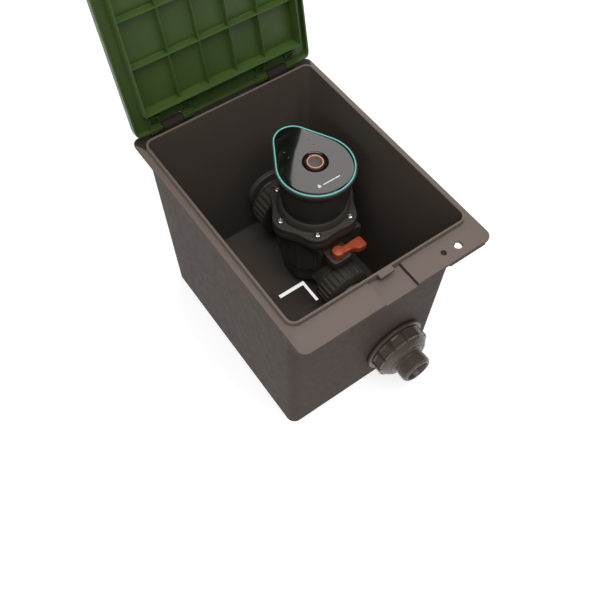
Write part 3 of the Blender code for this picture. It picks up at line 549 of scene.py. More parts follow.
def coil_copper():
    """Varnished copper wire wound in even turns, 0.4 mm apart."""
    made = Finish("coil_copper", 0.3, 0.85)
    wave = made.node("ShaderNodeTexWave", wave_type="BANDS", bands_direction="Z")
    wave.inputs["Scale"].default_value = 800.0
    wave.inputs["Distortion"].default_value = 0.6
    made.link(made.place, wave.inputs["Vector"])
    made.colour(made.mixed(wave.outputs["Fac"], (0.22, 0.06, 0.02), (0.62, 0.26, 0.11)))
    made.rough(made.ranged(made.noise(300.0), 0.22, 0.4))
    made.bump(wave.outputs["Fac"], 0.5, 0.0002)
    return made.finished()


def board_green():
    """Coated circuit board with paler tracks."""
    made = Finish("board_green", 0.4)
    tracks = made.node("ShaderNodeTexBrick")
    for key, value in (("Scale", 420.0), ("Mortar Size", 0.025), ("Brick Width", 0.9), ("Row Height", 0.45)):
        tracks.inputs[key].default_value = value
    tracks.inputs["Color1"].default_value = (0.012, 0.085, 0.035, 1.0)
    tracks.inputs["Color2"].default_value = (0.018, 0.110, 0.045, 1.0)
    tracks.inputs["Mortar"].default_value = (0.07, 0.24, 0.09, 1.0)
    made.link(made.place, tracks.inputs["Vector"])
    made.colour(tracks.outputs["Color"])
    made.rough(made.ranged(made.noise(350.0), 0.3, 0.5))
    made.bump(tracks.outputs["Fac"], 0.1)
    return made.finished()


def battery_steel():
    """Painted steel sleeve, dark with one copper-coloured end."""
    made = Finish("battery_steel", 0.35, 0.5)
    parts = made.node("ShaderNodeSeparateXYZ")
    made.link(made.place, parts.inputs["Vector"])
    end = made.ranged(parts.outputs["X"], 0.0, 1.0, 0.0440, 0.0442)
    made.colour(made.mixed(end, (0.05, 0.05, 0.055), (0.42, 0.20, 0.09)))
    made.rough(made.ranged(made.noise(200.0), 0.28, 0.45))
    made.bump(made.noise(900.0), 0.04)
    return made.finished()


FINISHES = {}
MAKERS = {
    "box_plastic": box_plastic, "shaded_box_inside": shaded_box_inside, "shaded_box_walls": shaded_box_walls,
    "shaded_hinge_plastic": shaded_hinge_plastic, "lid_plastic": lid_plastic,
    "black_plastic": valve_plastic, "gloss_black": face_gloss, "fitting_plastic": fitting_plastic,
    "black_rubber": rubber, "steel": steel, "lever_orange": lever_plastic,
    # Painted glow: the face line and the button ring give off a little light of their own colour, though they
    # are no lamps.
    "teal_line": lambda: painted_line("teal_line", chosen("line_colour"), painted_glow=0.3),
    "button_brown": lambda: painted_line("button_brown", (0.075, 0.045, 0.036), 0.35),
    "button_orange": lambda: painted_line("button_orange", chosen("button_colour"), painted_glow=0.3),
    "board_green": board_green, "battery_steel": battery_steel, "coil_copper": coil_copper,
    "mark_white": lambda: painted_line("mark_white", (0.80, 0.80, 0.80), 0.4),
    "button_centre": lambda: painted_line("button_centre", (0.085, 0.066, 0.058), 0.38),
}


def finish(name):
    """A finish, made the first time that it is asked for."""
    if name not in FINISHES:
        FINISHES[name] = MAKERS[name]()
    return FINISHES[name]


# ---------------------------------------------------------------- box
def inside_half(z):
    """Half width and half length inside the walls at a height: the draft narrows them evenly."""
    low = 1.0 - z / WALL_TOP
    return 90.0 - 3.6 * low, 113.75 - 2.4 * low


def wall_loop(z, grow):
    """Outline of the inside of the walls at a height, moved outwards."""
    half_x, half_y = inside_half(z)
    return loop(half_x + grow, -half_y - grow, half_y + grow, max(WALL_CORNER + grow, 0.4))


def drain_loop(grow):
    return loop(DRAIN_HALF_X + grow, -DRAIN_HALF_Y - grow, DRAIN_HALF_Y + grow, 0.8, scale=0.15)


def flange_loop(inset):
    return loop(BOX_HIGH[0] - inset, BOX_LOW[1] + inset, FLANGE_BACK - inset, FLANGE_CORNER - inset)


def box_rows(wall, flange_low):
    """Outlines and heights of the skin, and how many of them lie inside the box."""
    turn = np.linspace(0, pi / 2, 4)
    rows = [(drain_loop(0.0), 14.9), (drain_loop(0.15), 15.35), (drain_loop(0.6), FLOOR_TOP)]
    rows += [(wall_loop(FLOOR_TOP, grow), FLOOR_TOP + rise)
             for grow, rise in ((-2.5, 0.0), (-0.9, 0.35), (-0.2, 1.4))]
    rows += [(wall_loop(z, 0.0), z) for z in (18.2, 60.0, 110.0, 160.0, 205.0, 214.3)]
    inside = len(rows)
    rows += [(wall_loop(WALL_TOP, LIP_ROUND * (1 - cos(a))), WALL_TOP - LIP_ROUND * (1 - sin(a)))
             for a in turn]
    rows += [(wall_loop(WALL_TOP, wall - LIP_ROUND * (1 - sin(a))), WALL_TOP - LIP_ROUND * (1 - cos(a)))
             for a in turn]
    rows += [(wall_loop(FLANGE_TOP, wall + grow), FLANGE_TOP + rise)
             for grow, rise in ((0.0, 0.7), (0.2, 0.2), (0.7, 0.0))]
    rows += [(flange_loop(LIP_ROUND * (1 - sin(a))), FLANGE_TOP - LIP_ROUND * (1 - cos(a))) for a in turn]
    rows += [(flange_loop(inset), flange_low + rise)
             for inset, rise in ((0.0, 0.5), (0.15, 0.15), (0.5, 0.0))]
    rows += [(wall_loop(flange_low, wall + 0.8), flange_low), (wall_loop(flange_low, wall), flange_low - 0.8)]
    rows += [(wall_loop(z, wall), z) for z in (150.0, 100.0, 50.0, 0.6)]
    rows += [(wall_loop(0, wall - 0.5), 0.0), (wall_loop(0, 0.5), 0.0), (wall_loop(0, 0.0), 0.6)]
    rows += [(wall_loop(12.0, 0.0), 12.0), (wall_loop(13.0, -1.0), 13.0)]
    rows += [(drain_loop(0.6), 13.0), (drain_loop(0.0), 13.5)]
    return rows, inside


def build_box(sizes):
    """One closed skin: a profile carried round the opening, from the drain's edge over the floor,
    up the inner wall, over the lip and flange, down the outer wall and back under the floor. The
    notch is pressed into the front of the flange by lowering its points."""
    rows, inside = box_rows(sizes.wall_thickness / MM, FLANGE_TOP - sizes.flange_thickness / MM)
    points = np.stack([lifted(outline, z) for outline, z in rows])
    x, y, z = (points[..., i] for i in range(3))
    notch = (np.abs(x) < NOTCH_HALF) & (y < FRONT_LIP_Y) & (z > 205.0) & (z < FLANGE_TOP + 0.71)
    points[..., 2] -= NOTCH_DROP * notch
    shell = grid(points, around=True, along=True)

    x, y, z = shell[0][shell[1]].mean(1).T
    # Painted shade: inner faces take the darker inside finish, outer wall faces below the flange the darker
    # wall finish, and the flange behind the back lip the darkest, standing in for their shade.
    inner = np.repeat(np.arange(len(rows)) < inside - 1, points.shape[1])
    behind = (y > 115.9) & (z > FLANGE_TOP - 0.5)
    sunk = (np.abs(x) < NOTCH_HALF + 0.3) & (y < FRONT_LIP_Y) & (z > 205.0)
    outer = ~inner & (z + NOTCH_DROP * sunk < FLANGE_TOP - 0.35)
    made = piece("box_moulding", [(*shell, inner + 2 * outer + 3 * behind * ~outer)], "box", "box_plastic",
                 ["box_shell"], ["box_plastic", "shaded_box_inside", "shaded_box_walls", "shaded_hinge_plastic"])
    cut(made, rod(4.0, 195, 225, (BOLT_X, -129.6, 0), steps=40),
        rod(2.7, 195, 225, (BLIND_HOLE_X, BLIND_HOLE_Y, 0), steps=32),
        rod(WALL_BORE, -130, -95, (VALVE_X, 0, OUTLET_Z), "Y", 64),
        rod(WALL_BORE, 95, 130, (VALVE_X, 0, INLET_Z), "Y", 64))
    build_trims()
    build_lugs()
    build_drain_baffle()


def build_trims():
    """Latch tab, ears, turned-down front edge and the floor of the blind hole."""
    tab = pad((-7.5, -120.7, WALL_TOP - 2.4), (7.5, -114.6, WALL_TOP - 0.1), 0.6, 0.4)
    ears = [pad((x - 4.0, -136.0, 203.0), (x + 4.0, -112.0, 207.3), 3.9, 0.4) for x in (-EAR_X, EAR_X)]
    edges = [pad((low, -140.1, 203.2), (low + 40.0, -137.0, 207.3), 1.4, 0.4) for low in (-92.0, 52.0)]
    hole_floor = pad((48.6, -133.4, 203.6), (57.6, -124.4, 206.9), 4.0, 0.5)
    # Painted shade: the ears, the front edges and the hole's floor take the darker wall finish, standing in
    # for their shade.
    dark = [(*shell, 1) for shell in (*ears, *edges, hole_floor)]
    piece("box_trims", [tab, *dark], "box", "box_plastic", finishes=["box_plastic", "shaded_box_walls"])


def build_lugs():
    """Hinge lugs, round above and square below: the outline reaches 5.2 upwards and, below, as far
    as a rectangle 5.2 wide and 9 deep."""
    angle = np.linspace(-pi, pi, 96, endpoint=False)
    across, up = np.cos(angle), np.sin(angle)
    square = np.minimum(5.2 / np.maximum(np.abs(across), 1e-6), 9.0 / np.maximum(np.abs(up), 1e-6))
    reach = np.where(up > 0, 5.2, square)
    lugs = []
    for side in (-1, 1):
        low, high = side * LUG_X - 10.2, side * LUG_X + 10.2
        rows = [(2.2, 0.0, low), (-0.4, 1.0, low), (0.0, 1.0, low + 0.4), (0.0, 1.0, high - 0.4),
                (-0.4, 1.0, high), (2.2, 0.0, high)]
        points = [np.stack([np.full(96, x), HINGE_Y + (grow + outline * reach) * across,
                            HINGE_Z + (grow + outline * reach) * up], -1) for grow, outline, x in rows]
        lugs.append(wrapped(points))
    # Painted shade: the lugs take the darkened hinge finish.
    piece("hinge_lugs", lugs, "box", "box_plastic", finishes=["shaded_hinge_plastic"])


def build_drain_baffle():
    """Plate under the drain with two low walls and a foot."""
    low, high = span("drain_plate")
    plate = [pad((low[0], low[1], 3.2), (high[0], high[1], 5.2), 1.2, 0.4),
             pad((low[0], low[1], 3.4), (low[0] + 2, high[1] - 1, 12.6), 0.5, 0.3),
             pad((low[0], low[1], 3.4), (high[0] - 1, low[1] + 2, 12.6), 0.5, 0.3),
             turned(eased([(0, 0), (7, 0), (7, 4.2), (0, 4.2)], 0.4), (0, 0, 0), steps=40)]
    # Painted shade: the baffle takes the darker inside finish.
    piece("drain_baffle", plate, "box", "box_plastic", ["drain_plate"], ["shaded_box_inside"])


# ---------------------------------------------------------------- lid
FRAME_HALF_X, FRAME_NEAR, FRAME_FAR, FRAME_WALL = 84.0, 21.5, 234.5, 2.2
RIBS_X, RIBS_V = (-45.6, -15.2, 15.2, 45.6), (66.0, 108.0, 150.0, 192.0)


def marks(centre, half):
    """Places across a rib: close together at its edges, where its side is steep."""
    offsets = np.array([0.35, 0.0, -0.07, -0.18, -0.36, -0.62]) + half
    return np.concatenate([centre - offsets, [centre], centre + offsets])


def crest(distance):
    """Rounded edge of a rib, 1-(1-t)^3 of the share t of 0.62 mm reached."""
    t = np.clip(distance / 0.62, 0, 1)
    return 1 - (1 - t) ** 3


def pressed(x, v, radius=6.0):
    """Corner squares of the lid's rectangle pressed into quarter circles: each point moves to
    max(a,b)/hypot(a,b) of its place, with a and b measured from the square's inner corner."""
    middle, half_v = (LID_NEAR + LID_FAR) / 2, (LID_FAR - LID_NEAR) / 2
    a = np.clip(np.abs(x) - (LID_HALF_X - radius), 0, None)
    b = np.clip(np.abs(v - middle) - (half_v - radius), 0, None)
    scale = np.where((a > 0) & (b > 0), np.maximum(a, b) / np.maximum(np.hypot(a, b), 1e-9), 1.0)
    x = np.sign(x) * (np.abs(x) - a + a * scale)
    v = middle + np.sign(v - middle) * (np.abs(v - middle) - b + b * scale)
    return x, v


def lid_underside(rib_half):
    """Height map: skirt, frame and ribs each add a depth with steep sides and a round crest, and a
    small fillet of the square of the distance left stands at the foot of each rib."""
    rim = np.array([0.0, 0.12, 0.4, 0.9, 1.5, 1.9, 2.1, 2.2, 2.6])
    half_wall = FRAME_WALL / 2
    xs = [-LID_HALF_X + rim, LID_HALF_X - rim, [-70, -64, -30, 0, 30, 64, 70, -16.9, -16.3, 16.3, 16.9]]
    xs += [marks(x, rib_half) for x in RIBS_X]
    xs += [marks(side * (FRAME_HALF_X - half_wall), half_wall) for side in (-1, 1)]
    vs = [LID_NEAR + rim, LID_FAR - rim, [8, 14, 36, 51, 87, 129, 171, 213, 245, 252, 257]]
    vs += [marks(v, rib_half) for v in RIBS_V]
    vs += [marks(FRAME_NEAR + half_wall, half_wall), marks(FRAME_FAR - half_wall, half_wall)]
    xs = np.unique(np.round(np.concatenate(xs), 3))
    vs = np.unique(np.round(np.concatenate(vs), 3))
    v, x = np.meshgrid(vs, xs, indexing="ij")

    edge = np.minimum(LID_HALF_X - np.abs(x), np.minimum(v - LID_NEAR, LID_FAR - v))
    skirt = np.where((np.abs(x) < 16.6) & (v > 255), 1.2, 5.0)
    depth = skirt * crest(2.2 - edge)
    frame_in = np.minimum(FRAME_HALF_X - np.abs(x), np.minimum(v - FRAME_NEAR, FRAME_FAR - v))
    depth = np.maximum(depth, 13.0 * crest(np.minimum(frame_in, FRAME_WALL - frame_in)))
    inside = frame_in > half_wall
    fillet = 0.9
    for places, value in ((RIBS_X, x), (RIBS_V, v)):
        for place in places:
            depth = np.maximum(depth, 8.0 * crest(rib_half - np.abs(value - place)) * inside)
            near = np.clip(1 - (np.abs(value - place) - rib_half) / fillet, 0, 1)
            depth = np.maximum(depth, fillet * near ** 2 * (near < 1) * inside)
    x, v = pressed(x, v)
    return np.stack([x, -v, 0.6 - depth], -1)


def lid_top(under):
    """Rows from the underside's border up the edge, over its round and a shallow groove to the
    middle of the top."""
    around = np.concatenate([under[0], under[1:, -1], under[-1, -2::-1], under[-2:0:-1, 0]])
    middle = np.array([0.0, -(LID_NEAR + LID_FAR) / 2, 0.0])
    half_v = (LID_FAR - LID_NEAR) / 2
    rows = [around]
    for a in np.linspace(0, pi / 2, 5):
        inset = 1.0 * (1 - np.cos(a))
        row = around.copy()
        row[:, 0] *= (LID_HALF_X - inset) / LID_HALF_X
        row[:, 1] = middle[1] + (row[:, 1] - middle[1]) * (half_v - inset) / half_v
        row[:, 2] = 2.6 + np.sin(a)
        rows.append(row)
    rounded = rows[-1]
    for share, z in ((0.955, 3.6), (0.945, 3.35), (0.935, 3.35), (0.925, 3.6), (0.5, 3.6), (0.0, 3.6)):
        row = middle + (rounded - middle) * share
        row[:, 2] = z
        rows.append(row)
    return grid(opened(np.stack(rows)), around=True)


def knuckle(x):
    """Eye, arm, shallow frame round a window, and three hooks at its edges."""
    eye = eased([(2.2, x - 5.5), (3.7, x - 5.5), (3.7, x + 5.5), (2.2, x + 5.5)], 0.35, closed=True)
    outer = pad((x - 5.0, -14.1, 0.25), (x + 5.0, -4.8, 1.2), 0.7, 0.2, 4)[0].reshape(-1, 16, 3)[1:-1]
    window = np.clip(outer, [x - WINDOW_HALF, -WINDOW_FAR, -9], [x + WINDOW_HALF, -WINDOW_NEAR, 9])
    ring = np.concatenate([outer, window[::-1]])
    ring[len(outer):, :, 2] = outer[::-1][:, :, 2]
    return [turned(eye, (0, 0, 0), "X", 40, ring=True),
            pad((x - 5.5, -5.6, -3.5), (x + 5.5, -2.3, 1.2), 0.7, 0.35, 4),
            wrapped(ring),
            pad((x - 5.0, -14.2, -2.9), (x + 5.0, -12.7, 1.2), 0.6, 0.3, 4),
            pad((x - 5.0, -14.1, -2.9), (x - 3.4, -9.8, 1.2), 0.6, 0.3, 4),
            pad((x + 3.4, -14.1, -2.9), (x + 5.0, -9.8, 1.2), 0.6, 0.3, 4)]


def build_lid(sizes):
    """Lid with room for the lugs, windows beside its knuckles and a hole for the bolt."""
    under = lid_underside(sizes.rib_thickness / MM / 2)
    shells = [grid(opened(under)), lid_top(under)]
    made = piece("lid_moulding", shells, "lid", "lid_plastic", ["lid"], sharp=50)
    places = [side * x for side in (-1, 1) for x in KNUCKLES_X]
    room = [pad((x - 10.8, -5.7, -8.0), (x + 10.8, 4.0, 8.0), 0.3, 0.05, 3) for x in (-LUG_X, LUG_X)]
    windows = [pad((x - WINDOW_HALF, -WINDOW_FAR, -2.0), (x + WINDOW_HALF, -WINDOW_NEAR, 2.4), 0.3, 0.05, 3)
               for x in places]
    hole = rod(3.3, -8, 8, (BOLT_X, BOLT_Y, 0), steps=32)
    cut(made, *[(opened(points), faces) for points, faces in room + windows + [hole]], sharp=50)

    knuckles = [(opened(points), faces) for x in places for points, faces in knuckle(x)]
    piece("lid_knuckles", knuckles, "lid", "lid_plastic")
    for side, name in ((-1, "hinge_pin_left"), (1, "hinge_pin_right")):
        profile = eased([(0, 35.2), (1.9, 35.2), (1.9, 79.8), (0, 79.8)], 0.5)
        profile[:, 1] *= side
        piece(name + "_turned", [turned(profile, (0, HINGE_Y, HINGE_Z), "X", 32)], "lid", "steel", [name])


def build_lock_bolt():
    """Turned bolt with a screwdriver slot pressed into its head: the top is a disc of rings whose
    height drops inside the slot."""
    profile = eased([(0, -10), (2.0, -10), (3.0, -9), (3.0, 3.9), (6.0, 3.9), (6.0, 6.2), (5.0, 7.2)], 0.4)
    side = turned(profile, (BOLT_X, BOLT_Y, 0), steps=64)
    radius = np.linspace(5.0, 0.0, 26)[:, None]
    angle = np.linspace(0, 2 * pi, 64, endpoint=False)[None]
    x, y = radius * np.cos(angle), radius * np.sin(angle)
    z = 7.2 - 1.4 * band(y, -0.7, 0.7, 0.25) * band(x, -4.4, 4.4, 0.5)
    top = grid(np.stack([x + BOLT_X, y + BOLT_Y, z], -1), around=True)
    shells = [(opened(points), faces) for points, faces in (side, top)]
    piece("lock_bolt_turned", shells, "bolt", "black_plastic", ["lock_bolt"], sharp=50)


# ---------------------------------------------------------------- valve
def screw_places():
    angle = 2 * pi * np.arange(SCREW_COUNT) / SCREW_COUNT
    return np.stack([VALVE_X + SCREW_CIRCLE * np.cos(angle), VALVE_Y + SCREW_CIRCLE * np.sin(angle)], -1)


def port(low, high, height, sign):
    """Round port with a bead at its mouth and a bore, turned about Y."""
    profile = eased([(17.0, low), (19.0, low), (19.0, high - 15), (17.6, high - 13.5), (17.6, high - 12.5),
                     (19.0, high - 11), (19.0, high), (12.0, high), (12.0, low)], 0.6, closed=True)
    profile[:, 1] *= sign
    return turned(profile, (VALVE_X, 0, height), "Y", 64, ring=True)


def drawn_in(radius, height, angle):
    """Draws both flanges in between the screws: 2.6*(1-cos(6a)) times the share of the rim reached."""
    return -2.6 * (1 - np.cos(SCREW_COUNT * angle)) * smooth((radius - 37.5) / 9.0) * (height > 100)


def fluted(radius, height, angle):
    """Twelve upright ribs round the drum, under its flange."""
    flutes = 1.3 * band(np.cos(12 * angle), 0.86, 2.0, 0.12) * band(height, 56, 109, 3) * (radius > 30)
    return flutes + drawn_in(radius, height, angle)


def build_valve():
    """Casting of turned drum and ports with the lever's bracket, its bonnet and the six screws."""
    drum = eased([(0, 24), (22, 24), (31, 32), (35, 58), (36.5, 62), (36.5, 106), (46.5, 111.5), (46.5, 120),
                  (33, 120), (32, 119), (32, 62), (16, 62), (16, 100), (11.1, 100), (11.1, 42), (0, 42)],
                 [0.6] + [1.4] * 5 + [2.0, 0.8, 0.5, 0.4, 0.6, 0.6, 0.4, 0.4, 0.4, 0])
    levels = np.concatenate([np.linspace(a, b, 3 if abs(a[1] - b[1]) > 20 else 2)[:-1]
                             for a, b in zip(drum[:-1], drum[1:])] + [drum[-1:]])
    boss = eased([(0, 98), (3.2, 101), (5.4, 108), (5.4, 119.6), (0, 119.6)], 1.2)
    shells = [turned(levels, (VALVE_X, VALVE_Y, 0), steps=192, swell=fluted)]
    shells += [port(-5.0, 30.0, OUTLET_Z, -1), port(60.0, 84.0, INLET_Z, 1)]
    shells += [turned(boss, (x, y, 0), steps=32) for x, y in screw_places()]
    shells += [pad((18.0, -8.5, 80.0), (73.0, 10.0, 100.0), 1.5, 0.8),
               pad((22.0, -9.5, 97.5), (69.0, 2.0, 103.5), 1.5, 0.8)]
    shells += [pad((x, -12.5, 70.0), (x + 3.0, 0.0, 82.0), 0.8, 0.5) for x in (30.0, 42.0)]
    piece("valve_casting", shells, "box", "black_plastic", ["valve_body"])
    ledge = pad((24.0, -28.0, 82.0), (48.0, 4.0, 91.7), 5.0, 0.8)
    made = piece("lever_ledge", [ledge], "box", "black_plastic")
    cut(made, rod(2.8, 70, 110, (LEVER_X, LEVER_Y, 0), steps=32))

    cover = eased([(0, 132), (30, 132), (30, 122.2), (37, 122.2), (37, 120.3), (46.5, 120.3), (46.5, 125.4),
                   (45.4, 126.5), (38.5, 126.5), (36.8, 127.3), (36.5, 131.0), (34.5, 135.6), (0, 135.6)],
                  [0, 0.5, 0.5, 0.3, 0.3, 0.7, 0.9, 0.9, 0.8, 1.0, 2.0, 1.6, 0])
    seat = eased([(3.4, 125), (4.9, 125), (4.9, 126.3), (4.4, 126.75), (3.4, 126.75)], 0.25, closed=True)
    shells = [turned(cover, (VALVE_X, VALVE_Y, 0), steps=144, swell=drawn_in)]
    shells += [turned(seat, (x, y, 0), steps=40, ring=True) for x, y in screw_places()]
    piece("bonnet_moulding", shells, "box", "black_plastic", ["bonnet"])
    build_bonnet_screws()


def build_bonnet_screws():
    """Screws with a domed head, 1.35*sqrt(1-(r/3.75)^2) high, and a cross pressed into it."""
    radius = np.linspace(SCREW_TOP, 0.0, 24)[:, None]
    angle = np.linspace(0, 2 * pi, 72, endpoint=False)[None]
    u, w = radius * np.cos(angle), radius * np.sin(angle)
    dome = SCREW_SEAT + 1.5 + 1.35 * np.sqrt(np.clip(1 - (radius / SCREW_DOME) ** 2, 0, 1))
    cross = np.maximum(band(u, -0.42, 0.42, 0.3) * band(w, -1.9, 1.9, 0.4),
                       band(w, -0.42, 0.42, 0.3) * band(u, -1.9, 1.9, 0.4))
    hollow = dome - 1.5 * cross * (1 - radius / 4)
    rim = SCREW_SEAT + 1.5 + 1.35 * np.sqrt(1 - (SCREW_TOP / SCREW_DOME) ** 2)
    side = eased([(0, 114), (2.05, 114), (2.05, SCREW_SEAT), (3.5, SCREW_SEAT), (3.5, rim - 0.5),
                  (SCREW_TOP, rim)], 0.15)
    for i, (x, y) in enumerate(screw_places()):
        spin = i * 0.7 + 0.4
        top = np.stack([x + u * cos(spin) - w * sin(spin), y + u * sin(spin) + w * cos(spin), hollow], -1)
        name = "bonnet_screw_%d" % (i + 1)
        piece(name + "_head", [turned(side, (x, y, 0), steps=72), grid(top, around=True)], "box", "steel",
              [name], sharp=50)


def build_lever():
    """Lever as a run of rounded sections (superellipses) along X between stations of its centre
    line, width and height, with a round hub at its pivot."""
    t = np.linspace(0, 1, 60)
    stations = np.array([0.0, 0.25, 0.42, 0.52, 0.66, 0.85, 1.0])

    def along(values):
        return np.interp(smooth(t) * 0.35 + t * 0.65, stations, values)

    middle_y = along([-20.3, -20.4, -20.6, -21.8, -24.2, -24.4, -24.3])
    half_y = along([4.2, 3.9, 3.9, 4.7, 6.7, 6.8, 6.6])
    middle_z = along([95.0, 95.1, 95.3, 96.2, 97.4, 97.6, 97.6])
    half_z = along([2.9, 2.9, 3.0, 3.9, 4.4, 4.5, 4.3])
    end = np.sqrt(np.clip(1 - ((t - 0.5) / 0.5) ** 20, 0, 1))
    angle = np.linspace(0, 2 * pi, 64, endpoint=False)[None]
    across, up = (np.sign(wave) * np.abs(wave) ** 0.32 for wave in (np.cos(angle), np.sin(angle)))
    points = np.stack([(LEVER_X + 29.5 * t)[:, None] + 0 * angle,
                       middle_y[:, None] + (half_y * end)[:, None] * across,
                       middle_z[:, None] + (half_z * end)[:, None] * up], -1)
    made = piece("lever_moulding", [grid(points, around=True)], "lever", "lever_orange", ["manual_lever"])
    pivot = (LEVER_X, LEVER_Y, 0)
    cut(made, rod(2.8, 80, 110, pivot, steps=40))

    hub = eased([(2.8, 92.05), (6.3, 92.05), (6.3, 98.6), (2.8, 98.9)], 0.7, closed=True)
    cap = eased([(6.3, 98.0), (6.3, 101.0), (0, 101.9), (0, 101.2), (5.0, 100.9), (5.0, 98.0)], 1.0,
                closed=True)
    ridge = pad((38.0, -21.4, 97.6), (50.0, -19.0, 99.2), 1.1, 0.5)
    grips = [pad((x, -29.8, 101.2), (x + 1.4, -18.8, 102.3), 0.6, 0.35) for x in (53.0, 56.2, 59.4)]
    piece("lever_hub", [turned(hub, pivot, steps=56, ring=True), turned(cap, pivot, steps=56), ridge, *grips],
          "lever", "lever_orange")
    pin = eased([(0, 78), (2.5, 78), (2.5, 99.3), (4.6, 99.3), (4.6, 100.3), (0, 100.8)], 0.4)
    piece("lever_pin", [turned(pin, pivot, steps=48)], "lever", "steel", ["lever_shaft"])


# ---------------------------------------------------------------- pipe ends
def build_pipe_end(sizes, side, height, port_end, names, bodies):
    """Turned tube with a helical thread, its two seals and its two nuts. All are drawn outwards from
    the valve and then mirrored by side, which is -1 towards the front."""
    tube, seal, union, nut, gasket = names
    inside = inside_half(height)[1]
    outside = inside + 2.2
    centre = (VALVE_X, 0, height)

    def around_pipe(name, node, profile, slot, body="box", steps=72, swell=None, sharp=38):
        profile[:, 1] *= side
        shell = turned(profile, centre, "Y", steps, swell=swell, ring=True)
        piece(name, [shell], body, slot, [node], sharp=sharp)

    build_tube(sizes, side, inside, port_end + 2.9, tube, around_pipe)
    for node, inner, outer, low, high in ((seal, 12.8, 18.4, port_end + 0.3, port_end + 2.6),
                                          (gasket, 21.3, 32.0, outside + 0.7, outside + 1.7)):
        profile = eased([(inner, low), (outer, low), (outer, high), (inner, high)], 0.3, closed=True)
        around_pipe(node + "_ring", node, profile, "black_rubber")
    build_union_nut(side, port_end, union, bodies[0], around_pipe)
    build_wall_nut(side, outside + 2.1, nut, bodies[1], around_pipe)


def build_tube(sizes, side, inside, begin, node, around_pipe):
    """Thread: the crest stands out by a rounded triangle of (height - pitch*angle/turn)/pitch, faded
    in and out over the first and last turn."""
    mouth, pitch, turns = sizes.mouth_reach / MM, sizes.thread_pitch / MM, sizes.thread_turns
    crest_height = sizes.thread_radius / MM - THREAD_ROOT
    start = mouth - pitch * turns - 1.6

    def helical(radius, along, angle):
        out = along * side
        phase = ((out - start) / pitch + side * angle / (2 * pi)) % 1.0
        peak = 1 - np.abs(2 * phase - 1)
        wave = smooth(peak * 1.35 - 0.08)
        fade = smooth((out - start) / pitch) * smooth((mouth - 0.9 - out) / (0.7 * pitch))
        return crest_height * wave * fade * (np.abs(radius - THREAD_ROOT) < 0.05)

    first = eased([(TUBE_BORE, begin), (18.6, begin), (18.6, begin + 4), (15.6, begin + 4),
                   (15.6, inside - 6.6), (26, inside - 6.6), (26, inside - 0.6), (21, inside - 0.6),
                   (21, 137.9), (20.4, 138.5), (18.3, 138.6), (18.0, 139.3), (THREAD_ROOT, 139.6)],
                  [0.4, 0.5, 0.6, 0.8, 1.2, 0.8, 0.6, 0.5, 0.4, 0.4, 0.5, 0.5, 0])
    steps = np.linspace(139.7, mouth - 0.9, turns * 14 + 12)
    threaded = np.stack([np.full(len(steps), THREAD_ROOT), steps], -1)
    last = np.array([(14.9, mouth - 0.25), (14.6, mouth), (12.9, mouth), (TUBE_BORE, mouth - 0.3),
                     (TUBE_BORE, mouth - 12), (TUBE_BORE, inside)])
    around_pipe(node + "_threaded", node, np.concatenate([first, threaded, last]), "fitting_plastic",
                steps=96, swell=helical, sharp=55)


def build_union_nut(side, port_end, node, body, around_pipe):
    """Nut with a rim, upright ribs round it and a rounded front, larger at the back of the valve."""
    wide, count = (30.9, 30) if side > 0 else (25.2, 26)
    low, high = port_end - 12.0, port_end + 13.0

    def ribbed(radius, along, angle):
        rib = smooth((np.cos(count * angle) + 0.35) * 1.4)
        return (1.6 * rib * band(along * side, low + 2.2, high - 5.0, 0.8)) * (radius > wide - 0.2)

    rim = eased([(19.3, low), (wide + 1.7, low), (wide + 1.7, low + 1.8), (wide, low + 2.1)], 0.4)
    middle = np.stack([np.full(14, wide), np.linspace(low + 2.2, high - 5.0, 14)], -1)
    front = eased([(wide, high - 4.8), (wide + 1.2, high - 4.5), (wide + 1.2, high - 3.2),
                   (wide - 2.0, high - 1.6), (wide - 6, high), (16.0, high), (16.0, port_end + 7.2),
                   (19.3, port_end + 7.2)], 0.6)
    around_pipe(node + "_ribbed", node, np.concatenate([rim, middle, front]), "black_plastic", body,
                steps=240, swell=ribbed, sharp=50)


def build_wall_nut(side, back, node, body, around_pipe):
    """Nut with twelve raised pads, each with a sunk middle, and narrow slots between them."""
    root = 28.2

    def gripped(radius, along, angle):
        out = along * side
        share = (angle * 12 / (2 * pi)) % 1.0
        pad_edge = band(share, 0.09, 0.91, 0.06)
        sunk = band(share, 0.24, 0.76, 0.08) * band(out, back + 5.2, 129.6, 0.8)
        return (2.3 * pad_edge - 0.7 * sunk) * band(out, back + 3.4, 131.4, 0.9) * (radius > root - 0.1)

    rim = eased([(21.3, back), (33.5, back), (33.5, back + 2.6), (31.6, back + 3.0), (root, back + 3.3)], 0.5)
    middle = np.stack([np.full(22, root), np.linspace(back + 3.4, 131.6, 22)], -1)
    front = eased([(root, 131.8), (root, 132.4), (26.2, 134.6), (23.6, 136.9), (22.4, 137.6), (21.3, 137.6)],
                  1.2)
    around_pipe(node + "_gripped", node, np.concatenate([rim, middle, front]), "fitting_plastic", body,
                steps=288, swell=gripped, sharp=50)


# ---------------------------------------------------------------- controller head
def teardrop_rows(rows):
    """Outlines of the head, each moved outwards and lifted as its pair says."""
    return [lifted(teardrop(grow), z) for grow, z in rows]


def button_rows(rows):
    """Circles round the button, in line with the head's outline, of each pair's radius and height."""
    return [lifted(ring_about_button(radius, teardrop()), z) for radius, z in rows]


